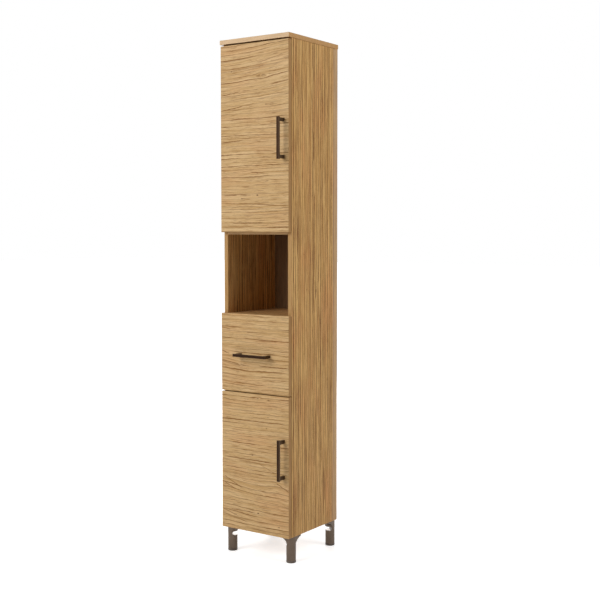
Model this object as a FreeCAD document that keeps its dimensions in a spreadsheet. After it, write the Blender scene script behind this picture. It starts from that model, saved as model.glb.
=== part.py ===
import FreeCAD, Part
import os
import Sketcher

# A tall, slim bathroom cabinet on four legs: a hinged door above an open niche, a drawer, and a
# second hinged door. Millimetres, real size. +X is to the right as one faces the cabinet, +Y goes
# back to the wall, +Z up. The origin is on the floor, under the middle of the whole cabinet.

DIMENSIONS = (
    ("body_width", 300, "outside of one side panel to the outside of the other"),
    ("body_height", 1775, "underside of the body to the top of the top panel"),
    ("body_depth", 315, "face of the fronts to the rear edge of the sides"),
    ("leg_height", 95, "floor to the underside of the body"),
    ("board", 16, "thickness of the carcass boards"),
    ("front_board", 16, "thickness of the doors and the drawer front"),
    ("arris", 0.8, "rounding of the banded board edges"),
    ("front_clearance", 2, "back of a closed front to the carcass"),
    ("top_overhang_side", 2.5, "top panel past each side panel"),
    ("top_overhang_front", 2, "top panel past the face of the fronts"),
    ("top_reveal", 5, "underside of the top panel to the upper door"),
    ("front_gap", 3.5, "between the drawer front and the lower door"),
    ("ceiling_overlay", 8, "how far the upper door covers the edge of the niche's top board"),
    ("lower_door_height", 505, "height of the lower door"),
    ("drawer_front_height", 283, "height of the drawer front"),
    ("niche_height", 286, "clear height of the open niche, its floor level with the drawer front"),
    ("back_sheet", 3, "thickness of the back sheet"),
    ("back_recess", 1, "rear edge of the sides to the back sheet"),
    ("rebate_width", 8, "how far the back sheet runs into a side panel"),
    ("sheet_clearance", 0.3, "back sheet to the end of its rebate"),
    ("shelf_clearance", 1, "loose shelf to each side panel"),
    ("shelf_setback", 24, "front edge of a loose shelf behind the carcass front"),
    ("shelf_back_gap", 2, "loose shelf to the back sheet"),
    ("upper_shelf_1_drop", 108.75, "pins of the first upper shelf under its compartment's middle"),
    ("upper_shelf_2_rise", 115.25, "pins of the second upper shelf above its compartment's middle"),
    ("lower_shelf_rise", 240, "lower compartment floor to the pins of its shelf"),
    ("pin_radius", 2.5, "shelf pin"),
    ("pin_depth", 9, "shelf pin in the side panel"),
    ("pin_reach", 7, "shelf pin under the shelf"),
    ("pin_inset", 37, "shelf pin from the front and the rear of the carcass"),
    ("hole_pitch", 32, "between two holes of a row of shelf holes"),
    ("dowel_radius", 4, "wooden dowel"),
    ("dowel_in_face", 11, "depth of a dowel hole in the face of a board"),
    ("dowel_in_end", 21, "depth of a dowel hole in the end of a board"),
    ("dowel_slack", 1, "dowel to the bottom of its two holes, each"),
    ("dowel_inset", 44, "dowel from the front and the rear of the carcass"),
    ("cam_inset", 92, "cam from the front and the rear of the carcass"),
    ("cam_radius", 7.5, "bore for a cam"),
    ("cam_depth", 12.5, "depth of a cam's bore"),
    ("cam_clearance", 0.1, "cam to its bore, all round"),
    ("cam_setback", 24, "cam axis from the end of its board"),
    ("bolt_radius", 3.3, "shaft of a cam bolt"),
    ("bolt_thread_radius", 2.5, "thread of a cam bolt"),
    ("bolt_thread", 11, "thread of a cam bolt in the board's face"),
    ("bolt_clearance", 0.5, "shaft of a cam bolt to its bore"),
    ("nail_radius", 0.8, "nail of the back sheet"),
    ("nail_length", 14, "nail of the back sheet, under its head"),
    ("nail_inset", 30, "last nail from the top and the bottom of the sides"),
    ("screw_radius", 1.75, "thread of a small wood screw"),
    ("screw_length", 12, "thread of a small wood screw"),
    ("screw_head_radius", 3.4, "head of a small wood screw"),
    ("screw_head", 1.5, "height of a small wood screw's head"),
    ("bracket_leg", 30, "each leg of a wall bracket"),
    ("bracket_width", 20, "width of a wall bracket"),
    ("bracket_steel", 2, "thickness of a wall bracket"),
    ("bracket_spacing", 180, "between the two wall screws"),
    ("bracket_hole_drop", 19, "wall screw under the top panel"),
    ("bracket_screw_front", 18, "bracket's upper screw in front of the back sheet"),
    ("wall_hole_radius", 2.75, "hole for a wall screw"),
    ("leg_radius", 17.5, "column of a leg"),
    ("leg_side_inset", 17.5, "column axis from the side of the body"),
    ("leg_front_inset", 21, "column axis behind the carcass front"),
    ("leg_rear_inset", 20, "column axis from the rear of the body"),
    ("leg_flare", 24, "radius of the hollow flare under a leg's plate"),
    ("leg_plate", 5, "thickness of a leg's plate"),
    ("leg_plate_inside", 40, "plate from the column axis, inwards"),
    ("leg_plate_bevel", 4, "corners of a leg's plate"),
    ("leg_screw_far", 32, "screws of a leg's plate from the column axis, inwards"),
    ("leg_screw_near", 4, "the same screws the other way"),
    ("leg_screw_gap", 1, "leg to the heads of its screws, all round"),
    ("leg_window_drop", 29.5, "middle of a leg's window under the body"),
    ("leg_window_radius", 7, "half the height of a leg's window"),
    ("foot_height", 8, "levelling foot under a leg"),
    ("foot_gap", 0.5, "levelling foot to the leg, screwed right in"),
    ("foot_radius", 17.8, "levelling foot"),
    ("stem_radius", 4, "stem of a levelling foot"),
    ("stem_length", 44, "stem of a levelling foot inside the leg"),
    ("stem_clearance", 0.05, "stem to its bore, all round"),
    ("stem_end_gap", 2, "stem to the end of its bore"),
    ("stem_tip", 1, "bevel at the end of a stem"),
    ("foot_rim", 1.6, "rounding of a levelling foot's rims"),
    ("handle_length", 146, "overall length of a handle"),
    ("handle_spacing", 128, "between the two screws of a handle"),
    ("handle_projection", 36, "door to the outside of a handle"),
    ("handle_width", 10, "width of a handle's bar"),
    ("handle_bar", 8, "thickness of a handle's bar"),
    ("handle_post", 12, "a handle's post, along the bar"),
    ("handle_edge", 1.4, "rounding of a handle's edges"),
    ("handle_root", 3, "rounding between bar and post"),
    ("handle_inset", 22.5, "handle axis from the right edge of a door"),
    ("upper_handle_drop", 7.75, "upper handle's middle under the middle of its door"),
    ("lower_handle_rise", 30, "lower handle's middle above the middle of its door"),
    ("drawer_handle_drop", 148, "drawer front's top to its handle"),
    ("handle_screw_radius", 2, "screw of a handle"),
    ("handle_screw_bite", 9, "screw of a handle inside its post"),
    ("handle_bore_gap", 1, "screw of a handle to the end of its bore"),
    ("hinge_inset", 95, "hinge from the top and the bottom of its door"),
    ("cup_across", 6.5, "hinge cup's axis from the side panel's inner face"),
    ("cup_radius", 17.5, "bore for a hinge cup"),
    ("cup_depth", 12, "depth of a hinge cup's bore"),
    ("cup_clearance", 0.1, "hinge cup to its bore, all round"),
    ("cup_wall", 0.9, "wall of a hinge cup"),
    ("cup_flange", 1.2, "flange of a hinge cup on the door"),
    ("cup_screw_across", 9.5, "flange screws past the cup's axis"),
    ("cup_screw_rise", 22.5, "flange screws above and below the cup's axis"),
    ("cup_flange_across", 5, "flange of a hinge cup past its screws"),
    ("cup_flange_rise", 6, "flange of a hinge cup above and below its screws"),
    ("cup_flange_corner", 3, "corners of a hinge cup's flange"),
    ("plate_steel", 3, "thickness of a hinge's mounting plate"),
    ("plate_screw_back", 37, "mounting plate's screws behind the carcass front"),
    ("plate_screw_rise", 16, "mounting plate's screws above and below its middle"),
    ("plate_front", 24, "mounting plate in front of its screws"),
    ("plate_rear", 20, "mounting plate behind its screws"),
    ("plate_half", 8, "half the height of a mounting plate"),
    ("plate_wing", 6, "half the depth of a mounting plate's wings"),
    ("plate_wing_root", 9, "the same, where the wings start"),
    ("plate_wing_rise", 7, "mounting plate's wings above and below the screws"),
    ("plate_corner", 2, "corners of a mounting plate"),
    ("arm_half", 6.5, "half the height of a hinge arm"),
    ("arm_steel", 2, "cheeks and web of a hinge arm"),
    ("arm_rise", 11, "hinge arm's web from the side panel"),
    ("arm_nose", 2.8, "round nose of a hinge arm"),
    ("arm_rear", 24, "hinge arm behind the mounting plate's screws"),
    ("arm_plate_gap", 0.3, "hinge arm to the mounting plate"),
    ("arm_panel_gap", 0.4, "hinge arm's cheeks to the side panel"),
    ("arm_shoulder", 4, "front of a hinge arm's web, behind the carcass front"),
    ("arm_toe", 7, "rear of a hinge arm's cheeks at the panel, behind the carcass front"),
    ("arm_heel", 12, "front of the same cheeks over the plate, behind the carcass front"),
    ("arm_bridge", 5, "front bridge of a hinge arm, behind the carcass front"),
    ("arm_bridge_steel", 1, "the same bridge, from front to back"),
    ("arm_end_wall", 3, "rear wall of a hinge arm"),
    ("link_pivot_across", 2.1, "hinge link's pin from the side panel's inner face"),
    ("link_pivot_back", 13.4, "hinge link's pin behind the door's face"),
    ("link_elbow_across", 11.5, "elbow of a hinge link, to the right of its pin"),
    ("link_elbow_back", 3.7, "elbow of a hinge link, behind its pin"),
    ("link_end_across", 5.5, "end of a hinge link, to the right of its elbow"),
    ("link_end_front", 8.9, "end of a hinge link, in front of its elbow"),
    ("link_steel", 2.4, "thickness of a hinge link"),
    ("link_half", 4.2, "half the height of a hinge link"),
    ("link_pin_radius", 1.3, "pin of a hinge link"),
    ("link_pin_clearance", 0.05, "hinge link to its pin, all round"),
    ("link_eye", 2.6, "eye of a hinge link"),
    ("bumper_radius", 4, "soft bumper behind a door"),
    ("bumper_height", 1.7, "soft bumper behind a door"),
    ("bumper_inset", 8, "soft bumper from the right edge of a door"),
    ("bumper_drop", 24, "soft bumper from the top and the bottom of a door"),
    ("box_board", 12, "thickness of the drawer box's boards"),
    ("box_height", 170, "height of the drawer box"),
    ("box_back_gap", 33, "drawer box to the back sheet"),
    ("box_rise", 24, "drawer box above its compartment's floor"),
    ("box_groove_rise", 12, "drawer bottom above the box's lower edge"),
    ("box_groove", 5, "drawer bottom's groove in the sides and front"),
    ("box_sheet", 3, "thickness of the drawer bottom"),
    ("groove_clearance", 0.2, "drawer bottom to its groove"),
    ("box_cam_radius", 5, "bore for a cam in a drawer side"),
    ("box_cam_depth", 9.5, "depth of a cam's bore in a drawer side"),
    ("box_cam_rise", 55, "cam from the drawer box's upper and lower edges"),
    ("box_screw_inset", 25, "drawer back's screws from its lower and upper edges"),
    ("runner_gap", 12.7, "side panel to the drawer box"),
    ("runner_rise", 85, "runner's middle above the drawer box's lower edge"),
    ("runner_setback", 4, "runner behind the carcass front"),
    ("runner_back_gap", 6, "rear end of a runner to the rear of the drawer box"),
    ("runner_screw_inset", 35, "screw from each end of a runner"),
    ("runner_middle_stop", 8, "rear end of a runner to its middle member, pushed in"),
    ("runner_steel", 1.2, "sheet of a runner"),
    ("runner_half", 22.5, "half the height of a runner's outer member"),
    ("middle_half", 18, "half the height of a runner's middle member"),
    ("inner_half", 13, "half the height of a runner's inner member"),
    ("runner_slot_near", 30, "slot in a runner's middle member, its near end"),
    ("runner_slot_far", 60, "the same slot, its far end"),
    ("runner_slot_half", 6, "half the height of the same slot"),
    ("outer_lip", 9, "width of the outer member's lips"),
    ("middle_web", 4, "middle member's web from the side panel"),
    ("middle_lip", 6.8, "width of the middle member's lips"),
    ("inner_lip", 5.7, "width of the inner member's lips"),
)

NAIL_COUNT = 9
# Shelf holes below and above the one that a shelf's pins are in.
HOLES_BELOW = 3
HOLES_ABOVE = 3
LOWER_HOLES_ABOVE = 5

doc = FreeCAD.newDocument("tall_cabinet")
sheet = doc.addObject("Spreadsheet::Sheet", "Sizes")
nodes = []
cuts = []


class Size:
    """A length: its number, and the expression of sheet cells that gives it."""

    def __init__(self, value, text):
        self.value = float(value)
        self.text = text

    def __add__(self, other):
        return Size(self.value + size(other).value, f"({self.text} + {size(other).text})")

    def __sub__(self, other):
        return Size(self.value - size(other).value, f"({self.text} - {size(other).text})")

    def __mul__(self, other):
        return Size(self.value * size(other).value, f"({self.text} * {size(other).text})")

    def __truediv__(self, other):
        return Size(self.value / size(other).value, f"({self.text} / {size(other).text})")

    def __neg__(self):
        return Size(-self.value, f"(0 - {self.text})")

    def __radd__(self, other):
        return size(other) + self

    def __rsub__(self, other):
        return size(other) - self

    def __rmul__(self, other):
        return size(other) * self


def size(value):
    """A plain number as a Size."""
    if isinstance(value, Size):
        return value
    return Size(value, f"({value})")


def fill_sheet():
    """Put the driving dimensions into the sheet, and give each back by its name."""
    named = {}
    for row, (alias, value, meaning) in enumerate(DIMENSIONS, 1):
        sheet.set(f"A{row}", meaning)
        sheet.set(f"B{row}", str(value))
        sheet.setAlias(f"B{row}", alias)
        named[alias] = Size(value, f"Sizes.{alias}")
    doc.recompute()
    return named


d = fill_sheet()

# Places across the cabinet, from left to right.
half = d["body_width"] / 2
inner = half - d["board"]

# Places from the front to the wall. The handles stick out furthest in front.
face = (d["handle_projection"] - d["body_depth"]) / 2
front_back = face + d["front_board"]
carcass_front = front_back + d["front_clearance"]
rear = face + d["body_depth"]
sheet_back = rear - d["back_recess"]
sheet_front = sheet_back - d["back_sheet"]

# Places from the floor up.
body_bottom = d["leg_height"]
body_top = body_bottom + d["body_height"]
top_under = body_top - d["board"]
lower_floor = body_bottom + d["board"]
lower_door_top = body_bottom + d["lower_door_height"]
drawer_bottom_edge = lower_door_top + d["front_gap"]
divider_middle = lower_door_top + d["front_gap"] / 2
divider_under = divider_middle - d["board"] / 2
divider_top = divider_middle + d["board"] / 2
drawer_top_edge = drawer_bottom_edge + d["drawer_front_height"]
niche_floor = drawer_top_edge
niche_floor_under = niche_floor - d["board"]
niche_ceiling = niche_floor + d["niche_height"]
upper_floor = niche_ceiling + d["board"]
upper_door_bottom = niche_ceiling + d["ceiling_overlay"]
upper_door_top = top_under - d["top_reveal"]
upper_middle = (upper_floor + top_under) / 2

# The drawer box and its runners.
box_outside = inner - d["runner_gap"]
box_inside = box_outside - d["box_board"]
box_bottom = divider_top + d["box_rise"]
box_top = box_bottom + d["box_height"]
box_rear = sheet_front - d["box_back_gap"]
groove_low = box_bottom + d["box_groove_rise"]
groove_high = groove_low + d["box_sheet"] + d["groove_clearance"]
runner_middle = box_bottom + d["runner_rise"]
runner_front = carcass_front + d["runner_setback"]
runner_rear = box_rear - d["runner_back_gap"]
runner_length = runner_rear - runner_front

UP = FreeCAD.Vector(0, 0, 1)
ALONG_X = FreeCAD.Vector(1, 0, 0)
ALONG_Y = FreeCAD.Vector(0, 1, 0)
# The two axes that a sketch on each plane is drawn in, and the axis that it is pushed along.
PLANES = {"XY_Plane": (0, 1, 2), "XZ_Plane": (0, 2, 1), "YZ_Plane": (1, 2, 0)}


def turned(axis, degrees):
    """A rotation about one axis."""
    return FreeCAD.Rotation(axis, degrees)


def place(thing, x=0, y=0, z=0, rotation=None):
    """Put an object at a place that follows the sheet."""
    thing.Placement = FreeCAD.Placement(FreeCAD.Vector(0, 0, 0), rotation or FreeCAD.Rotation())
    for axis, value in zip("xyz", (x, y, z)):
        thing.setExpression(f"Placement.Base.{axis}", size(value).text)


def rectangle(low_u, low_v, high_u, high_v):
    """The four corners of a rectangle."""
    return [(low_u, low_v), (high_u, low_v), (high_u, high_v), (low_u, high_v)]


def ring(u, v, radius):
    """A circle: its middle and radius."""
    return (size(u), size(v), size(radius))


def is_circle(loop):
    """Whether a loop is a circle and not a list of corners."""
    return isinstance(loop, tuple)


class Piece:
    """One body. Its calls take places in the cabinet, and its own corner is taken off them."""

    def __init__(self, label, corner=(0, 0, 0), kept=True):
        self.body = doc.addObject("PartDesign::Body", label)
        self.body.Label = label
        self.corner = [size(value) for value in corner]
        place(self.body, *corner)
        if kept:
            nodes.append(self.body)

    def sketch(self, role, level, loops, turn=0):
        """A sketch of closed loops on one of the body's planes, pushed out to a level."""
        first, second, third = PLANES[role]
        plane = next(f for f in self.body.Origin.OriginFeatures if f.Role == role)
        drawing = self.body.newObject("Sketcher::SketchObject", f"{self.body.Name}_sketch")
        drawing.AttachmentSupport = [(plane, "")]
        drawing.MapMode = "FlatFace"
        drawing.AttachmentOffset = FreeCAD.Placement(FreeCAD.Vector(0, 0, 0), turned(ALONG_Y, turn))
        toward = -1 if role == "XZ_Plane" else 1
        offset = (size(level) - self.corner[third]) * toward
        drawing.setExpression("AttachmentOffset.Base.z", offset.text)
        for loop in loops:
            if is_circle(loop):
                self.draw_circle(drawing, loop, first, second)
            else:
                self.draw_corners(drawing, loop, first, second)
        return drawing

    def bind(self, drawing, constraint, value):
        """Add one dimension to a sketch and tie it to the sheet."""
        index = drawing.addConstraint(constraint)
        drawing.setExpression(f"Constraints[{index}]", value.text)

    def pin(self, drawing, geometry, point, u, v):
        """Tie one point of a sketch to the origin."""
        self.bind(drawing, Sketcher.Constraint("DistanceX", -1, 1, geometry, point, u.value), u)
        self.bind(drawing, Sketcher.Constraint("DistanceY", -1, 1, geometry, point, v.value), v)

    def draw_circle(self, drawing, loop, first, second):
        """A circle tied by its middle and radius."""
        u = loop[0] - self.corner[first]
        v = loop[1] - self.corner[second]
        middle = FreeCAD.Vector(u.value, v.value, 0)
        index = drawing.addGeometry(Part.Circle(middle, UP, loop[2].value), False)
        self.pin(drawing, index, 3, u, v)
        self.bind(drawing, Sketcher.Constraint("Radius", index, loop[2].value), loop[2])

    def draw_corners(self, drawing, loop, first, second):
        """A closed outline of straight lines, each corner tied."""
        corners = [(size(u) - self.corner[first], size(v) - self.corner[second]) for u, v in loop]
        vectors = [FreeCAD.Vector(u.value, v.value, 0) for u, v in corners]
        lines = []
        for start, end in zip(vectors, vectors[1:] + vectors[:1]):
            lines.append(drawing.addGeometry(Part.LineSegment(start, end), False))
        for line, following in zip(lines, lines[1:] + lines[:1]):
            drawing.addConstraint(Sketcher.Constraint("Coincident", line, 2, following, 1))
        for line, (u, v) in zip(lines, corners):
            self.pin(drawing, line, 1, u, v)

    def pad(self, role, start, end, *loops):
        """Push loops out from one level to a higher one."""
        feature = self.body.newObject("PartDesign::Pad", f"{self.body.Name}_pad")
        feature.Profile = self.sketch(role, start, loops)
        feature.Reversed = role == "XZ_Plane"
        feature.setExpression("Length", (size(end) - size(start)).text)
        return self

    def cut(self, role, start, end, *loops):
        """Take loops away from one level to a higher one."""
        feature = self.body.newObject("PartDesign::Pocket", f"{self.body.Name}_cut")
        feature.Profile = self.sketch(role, start, loops)
        feature.Reversed = role != "XZ_Plane"
        feature.setExpression("Length", (size(end) - size(start)).text)
        cuts.append(feature)
        return self

    def cut_across(self, degrees, length, *loops):
        """Take loops away both ways from an upright plane that is turned about the body's axis."""
        feature = self.body.newObject("PartDesign::Pocket", f"{self.body.Name}_cut")
        feature.Profile = self.sketch("XZ_Plane", 0, loops, degrees)
        feature.SideType = "Symmetric"
        feature.setExpression("Length", size(length).text)
        cuts.append(feature)
        return self

    def turn(self, *corners):
        """Turn a half outline, as radius and height, about the body's own upright axis."""
        feature = self.body.newObject("PartDesign::Revolution", f"{self.body.Name}_turn")
        drawing = self.sketch("XZ_Plane", 0, [list(corners)])
        feature.Profile = drawing
        feature.ReferenceAxis = (drawing, ["V_Axis"])
        feature.Angle = 360
        return self

    def soften(self, radius, wanted=None, kind="Fillet"):
        """Round or chamfer the edges that a test picks, or all of them."""
        doc.recompute()
        base = self.body.Tip
        edges = enumerate(base.Shape.Edges, 1)
        names = [f"Edge{number}" for number, edge in edges if wanted is None or wanted(edge)]
        feature = self.body.newObject(f"PartDesign::{kind}", f"{self.body.Name}_edge")
        feature.Base = (base, names)
        feature.setExpression("Radius" if kind == "Fillet" else "Size", size(radius).text)
        return self


def copies(label, master, spots, kept=True):
    """One node of like solids: each spot is a place, with a rotation where it is turned."""
    links = []
    for number, spot in enumerate(spots, 1):
        link = doc.addObject("App::Link", f"{label}_{number}")
        link.LinkedObject = master
        place(link, *spot)
        links.append(link)
    group = doc.addObject("Part::Compound", label)
    group.Label = label
    group.Links = links
    if kept:
        nodes.append(group)
    return group


def near(edge, axis, level):
    """Whether all of an edge lies at one level of an axis."""
    box = edge.BoundBox
    low, high = ((box.XMin, box.XMax), (box.YMin, box.YMax), (box.ZMin, box.ZMax))[axis]
    return abs(low - level) < 0.01 and abs(high - level) < 0.01


def board(label, low, high):
    """A board with banded, slightly rounded edges, from its low corner to its high one."""
    piece = Piece(label, low)
    piece.pad("XY_Plane", low[2], high[2], rectangle(low[0], low[1], high[0], high[1]))
    return piece.soften(d["arris"])


# ---- fasteners: each is made once and copied to where it is used ------------------------------

def screw(label, radius, length, head_radius, head):
    """A cross-head screw. Its head sits on z = 0 and its thread goes down."""
    tip = radius * 0.2
    piece = Piece(label, kept=False)
    piece.turn((0, head), (head_radius * 0.7, head), (head_radius, head * 0.5), (head_radius, 0),
               (radius, 0), (radius, radius * 1.5 - length), (tip, -length), (0, -length))
    slot = head_radius * 0.12
    reach = head_radius * 0.55
    piece.cut("XY_Plane", head * 0.45, head * 1.5,
              [(-reach, -slot), (-slot, -slot), (-slot, -reach), (slot, -reach),
               (slot, -slot), (reach, -slot), (reach, slot), (slot, slot),
               (slot, reach), (-slot, reach), (-slot, slot), (-reach, slot)])
    return piece.body


def cam_lock(label, radius, depth):
    """A round cam, its cross slot on z = 0 and its mouth towards +X for the bolt's head."""
    body_radius = radius - d["cam_clearance"]
    height = depth - d["cam_clearance"]
    mouth = d["bolt_radius"] + d["bolt_clearance"]
    middle = d["board"] / 2 if radius is d["cam_radius"] else d["box_board"] / 2
    piece = Piece(label, kept=False)
    piece.turn((0, 0), (body_radius, 0), (body_radius, height), (0, height))
    piece.cut("YZ_Plane", 0, body_radius * 1.2, ring(0, middle, mouth))
    slot = body_radius * 0.12
    reach = body_radius * 0.6
    piece.cut("XY_Plane", -1, body_radius * 0.2,
              rectangle(-slot, -reach, slot, reach))
    return piece.body


def cam_bolt(label, length):
    """A cam bolt along +X: thread up to x = 0, then its shaft, neck and head."""
    shaft = d["bolt_radius"]
    neck = shaft * 0.6
    head = shaft * 1.2
    piece = Piece(label, kept=False)
    piece.turn((0, -d["bolt_thread"]), (d["bolt_thread_radius"], -d["bolt_thread"]),
               (d["bolt_thread_radius"], 0), (shaft, 0), (shaft, length - head * 2),
               (neck, length - head * 2), (neck, length - head), (shaft, length - head),
               (shaft, length), (0, length))
    return piece.body


def dowel():
    """A wooden dowel, centred, upright."""
    radius = d["dowel_radius"]
    long = (d["dowel_in_face"] + d["dowel_in_end"]) / 2 - d["dowel_slack"]
    bevel = radius * 0.25
    piece = Piece("dowel_master", kept=False)
    piece.turn((0, -long), (radius - bevel, -long), (radius, bevel - long),
               (radius, long - bevel), (radius - bevel, long), (0, long))
    return piece.body


def nail():
    """A flat-headed nail. Its head sits on z = 0 and its point goes down."""
    radius = d["nail_radius"]
    piece = Piece("nail_master", kept=False)
    piece.turn((0, radius), (radius * 2.4, radius), (radius * 2.4, 0), (radius, 0),
               (radius, radius * 2 - d["nail_length"]), (radius * 0.1, -d["nail_length"]),
               (0, -d["nail_length"]))
    return piece.body


def shelf_pin():
    """A shelf pin along +Z: z = 0 is the face of the side panel, the part in the panel is below."""
    radius = d["pin_radius"]
    collar = radius * 1.5
    piece = Piece("shelf_pin_master", kept=False)
    piece.turn((0, -d["pin_depth"]), (radius * 0.8, -d["pin_depth"]),
               (radius, radius * 0.2 - d["pin_depth"]), (radius, 0), (collar, 0),
               (collar, radius * 0.4), (radius, radius * 0.4), (radius, d["pin_reach"]),
               (0, d["pin_reach"]))
    return piece.body


WOOD_SCREW = screw("wood_screw_master", d["screw_radius"], d["screw_length"],
                   d["screw_head_radius"], d["screw_head"])
HANDLE_SCREW_LENGTH = d["front_board"] + d["handle_screw_bite"]
HANDLE_SCREW = screw("handle_screw_master", d["handle_screw_radius"], HANDLE_SCREW_LENGTH,
                     d["handle_screw_radius"] * 2, d["handle_screw_radius"])
CAM_LOCK = cam_lock("cam_lock_master", d["cam_radius"], d["cam_depth"])
CAM_BOLT = cam_bolt("cam_bolt_master", d["cam_setback"])
BOX_CAM = cam_lock("box_cam_master", d["box_cam_radius"], d["box_cam_depth"])
DOWEL = dowel()
NAIL = nail()
SHELF_PIN = shelf_pin()


# ---- the carcass ------------------------------------------------------------------------------

# The boards that are held between the two sides: name, underside, and whether the cams are below.
FIXED_BOARDS = (
    ("bottom_panel", body_bottom, True),
    ("drawer_divider", divider_under, True),
    ("niche_floor_panel", niche_floor_under, True),
    ("niche_top_panel", niche_ceiling, False),
)
dowel_rows = (carcass_front + d["dowel_inset"], rear - d["dowel_inset"])
cam_rows = (carcass_front + d["cam_inset"], rear - d["cam_inset"])
pin_rows = (carcass_front + d["pin_inset"], rear - d["pin_inset"])
SHELVES = (
    ("upper_shelf_1", upper_middle - d["upper_shelf_1_drop"]),
    ("upper_shelf_2", upper_middle + d["upper_shelf_2_rise"]),
    ("lower_shelf", lower_floor + d["lower_shelf_rise"]),
)
hinge_heights = {
    "upper": (upper_door_bottom + d["hinge_inset"], upper_door_top - d["hinge_inset"]),
    "lower": (body_bottom + d["hinge_inset"], lower_door_top - d["hinge_inset"]),
}
plate_screw_row = carcass_front + d["plate_screw_back"]
runner_screw_rows = (runner_front + d["runner_screw_inset"], (runner_front + runner_rear) / 2,
                     runner_rear - d["runner_screw_inset"])


def shelf_hole_heights():
    """The rows of holes that the loose shelves can be set at."""
    heights = []
    for name, height in SHELVES:
        above = LOWER_HOLES_ABOVE if name == "lower_shelf" else HOLES_ABOVE
        heights += [height + d["hole_pitch"] * step for step in range(-HOLES_BELOW, above + 1)]
    return heights


def side_panel(label, side):
    """A side panel with all its holes. side is -1 for the left one and 1 for the right one."""
    low_x = -half if side < 0 else inner
    high_x = -inner if side < 0 else half
    piece = board(label, (low_x, carcass_front, body_bottom), (high_x, rear, top_under))
    face_x = high_x if side < 0 else low_x

    def from_inside(depth):
        """The two levels of a hole that is drilled into the inner face."""
        return (face_x - depth, face_x) if side < 0 else (face_x, face_x + depth)

    rebate = from_inside(d["rebate_width"])
    piece.cut("XY_Plane", body_bottom, top_under, rectangle(rebate[0], sheet_front, rebate[1], rear))
    nails = nail_rows(side)
    piece.cut("XZ_Plane", sheet_back - d["nail_length"], sheet_front,
              *[ring(x, z, d["nail_radius"]) for x, z in nails])
    middles = [under + d["board"] / 2 for _, under, _ in FIXED_BOARDS]
    piece.cut("YZ_Plane", *from_inside(d["dowel_in_face"]),
              *[ring(y, z, d["dowel_radius"]) for z in middles for y in dowel_rows])
    piece.cut("YZ_Plane", *from_inside(d["bolt_thread"]),
              *[ring(y, z, d["bolt_thread_radius"]) for z in middles for y in cam_rows])
    piece.cut("YZ_Plane", *from_inside(d["pin_depth"]),
              *[ring(y, z, d["pin_radius"]) for z in shelf_hole_heights() for y in pin_rows])
    piece.cut("YZ_Plane", *from_inside(d["screw_length"] - d["runner_steel"]),
              *[ring(y, runner_middle, d["screw_radius"]) for y in runner_screw_rows])
    if side < 0:
        heights = [z + rise * d["plate_screw_rise"]
                   for pair in hinge_heights.values() for z in pair for rise in (-1, 1)]
        piece.cut("YZ_Plane", *from_inside(d["screw_length"] - d["plate_steel"]),
                  *[ring(plate_screw_row, z, d["screw_radius"]) for z in heights])
    # The top panel lies on the sides: dowels and cam bolts go up into it.
    edge_x = (low_x + high_x) / 2
    piece.cut("XY_Plane", top_under - d["dowel_in_end"], top_under,
              *[ring(edge_x, y, d["dowel_radius"]) for y in dowel_rows])
    piece.cut("XY_Plane", top_under - d["cam_setback"], top_under,
              *[ring(edge_x, y, d["bolt_radius"] + d["bolt_clearance"]) for y in cam_rows])
    piece.cut("YZ_Plane", *from_inside(d["cam_depth"]),
              *[ring(y, top_under - d["cam_setback"], d["cam_radius"]) for y in cam_rows])


def fixed_board(label, under, cams_below):
    """A board between the sides, with dowel holes and cam bores at both ends."""
    over = under + d["board"]
    middle = under + d["board"] / 2
    piece = board(label, (-inner, carcass_front, under), (inner, sheet_front, over))
    for low, high in ((-inner, -inner + d["dowel_in_end"]), (inner - d["dowel_in_end"], inner)):
        piece.cut("YZ_Plane", low, high, *[ring(y, middle, d["dowel_radius"]) for y in dowel_rows])
    for low, high in ((-inner, -inner + d["cam_setback"]), (inner - d["cam_setback"], inner)):
        piece.cut("YZ_Plane", low, high,
                  *[ring(y, middle, d["bolt_radius"] + d["bolt_clearance"]) for y in cam_rows])
    piece.cut("XZ_Plane", sheet_back - d["nail_length"], sheet_front,
              ring(0, middle, d["nail_radius"]))
    cam_x = inner - d["cam_setback"]
    bores = [ring(x, y, d["cam_radius"]) for x in (-cam_x, cam_x) for y in cam_rows]
    if cams_below:
        piece.cut("XY_Plane", under, under + d["cam_depth"], *bores)
    else:
        piece.cut("XY_Plane", over - d["cam_depth"], over, *bores)
    if label == "bottom_panel":
        spots = [ring(x, y, d["screw_radius"]) for x, y in leg_screw_spots()]
        piece.cut("XY_Plane", under, under + d["screw_length"] - d["leg_plate"], *spots)


def leg_spots():
    """The column axis of each leg, and how far the leg is turned so that its plate lies inwards."""
    x = half - d["leg_side_inset"]
    front = carcass_front + d["leg_front_inset"]
    back = rear - d["leg_rear_inset"]
    return (("front_left", -x, front, 0), ("front_right", x, front, 90),
            ("back_right", x, back, 180), ("back_left", -x, back, 270))


def plate_screws():
    """The three screws of a leg's plate, from the column axis, plate inwards to +X and +Y."""
    far = d["leg_screw_far"]
    close = d["leg_screw_near"]
    return ((far, far), (far, close), (close, far))


def quarter_turn(x, y, degrees):
    """A place turned about the column axis by quarter turns."""
    for _ in range(degrees // 90):
        x, y = -size(y), x
    return x, y


def leg_screw_spots():
    """Where the leg screws stand, under the bottom panel."""
    spots = []
    for _, column_x, column_y, degrees in leg_spots():
        for x, y in plate_screws():
            across, back = quarter_turn(x, y, degrees)
            spots.append((column_x + across, column_y + back))
    return spots


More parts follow.
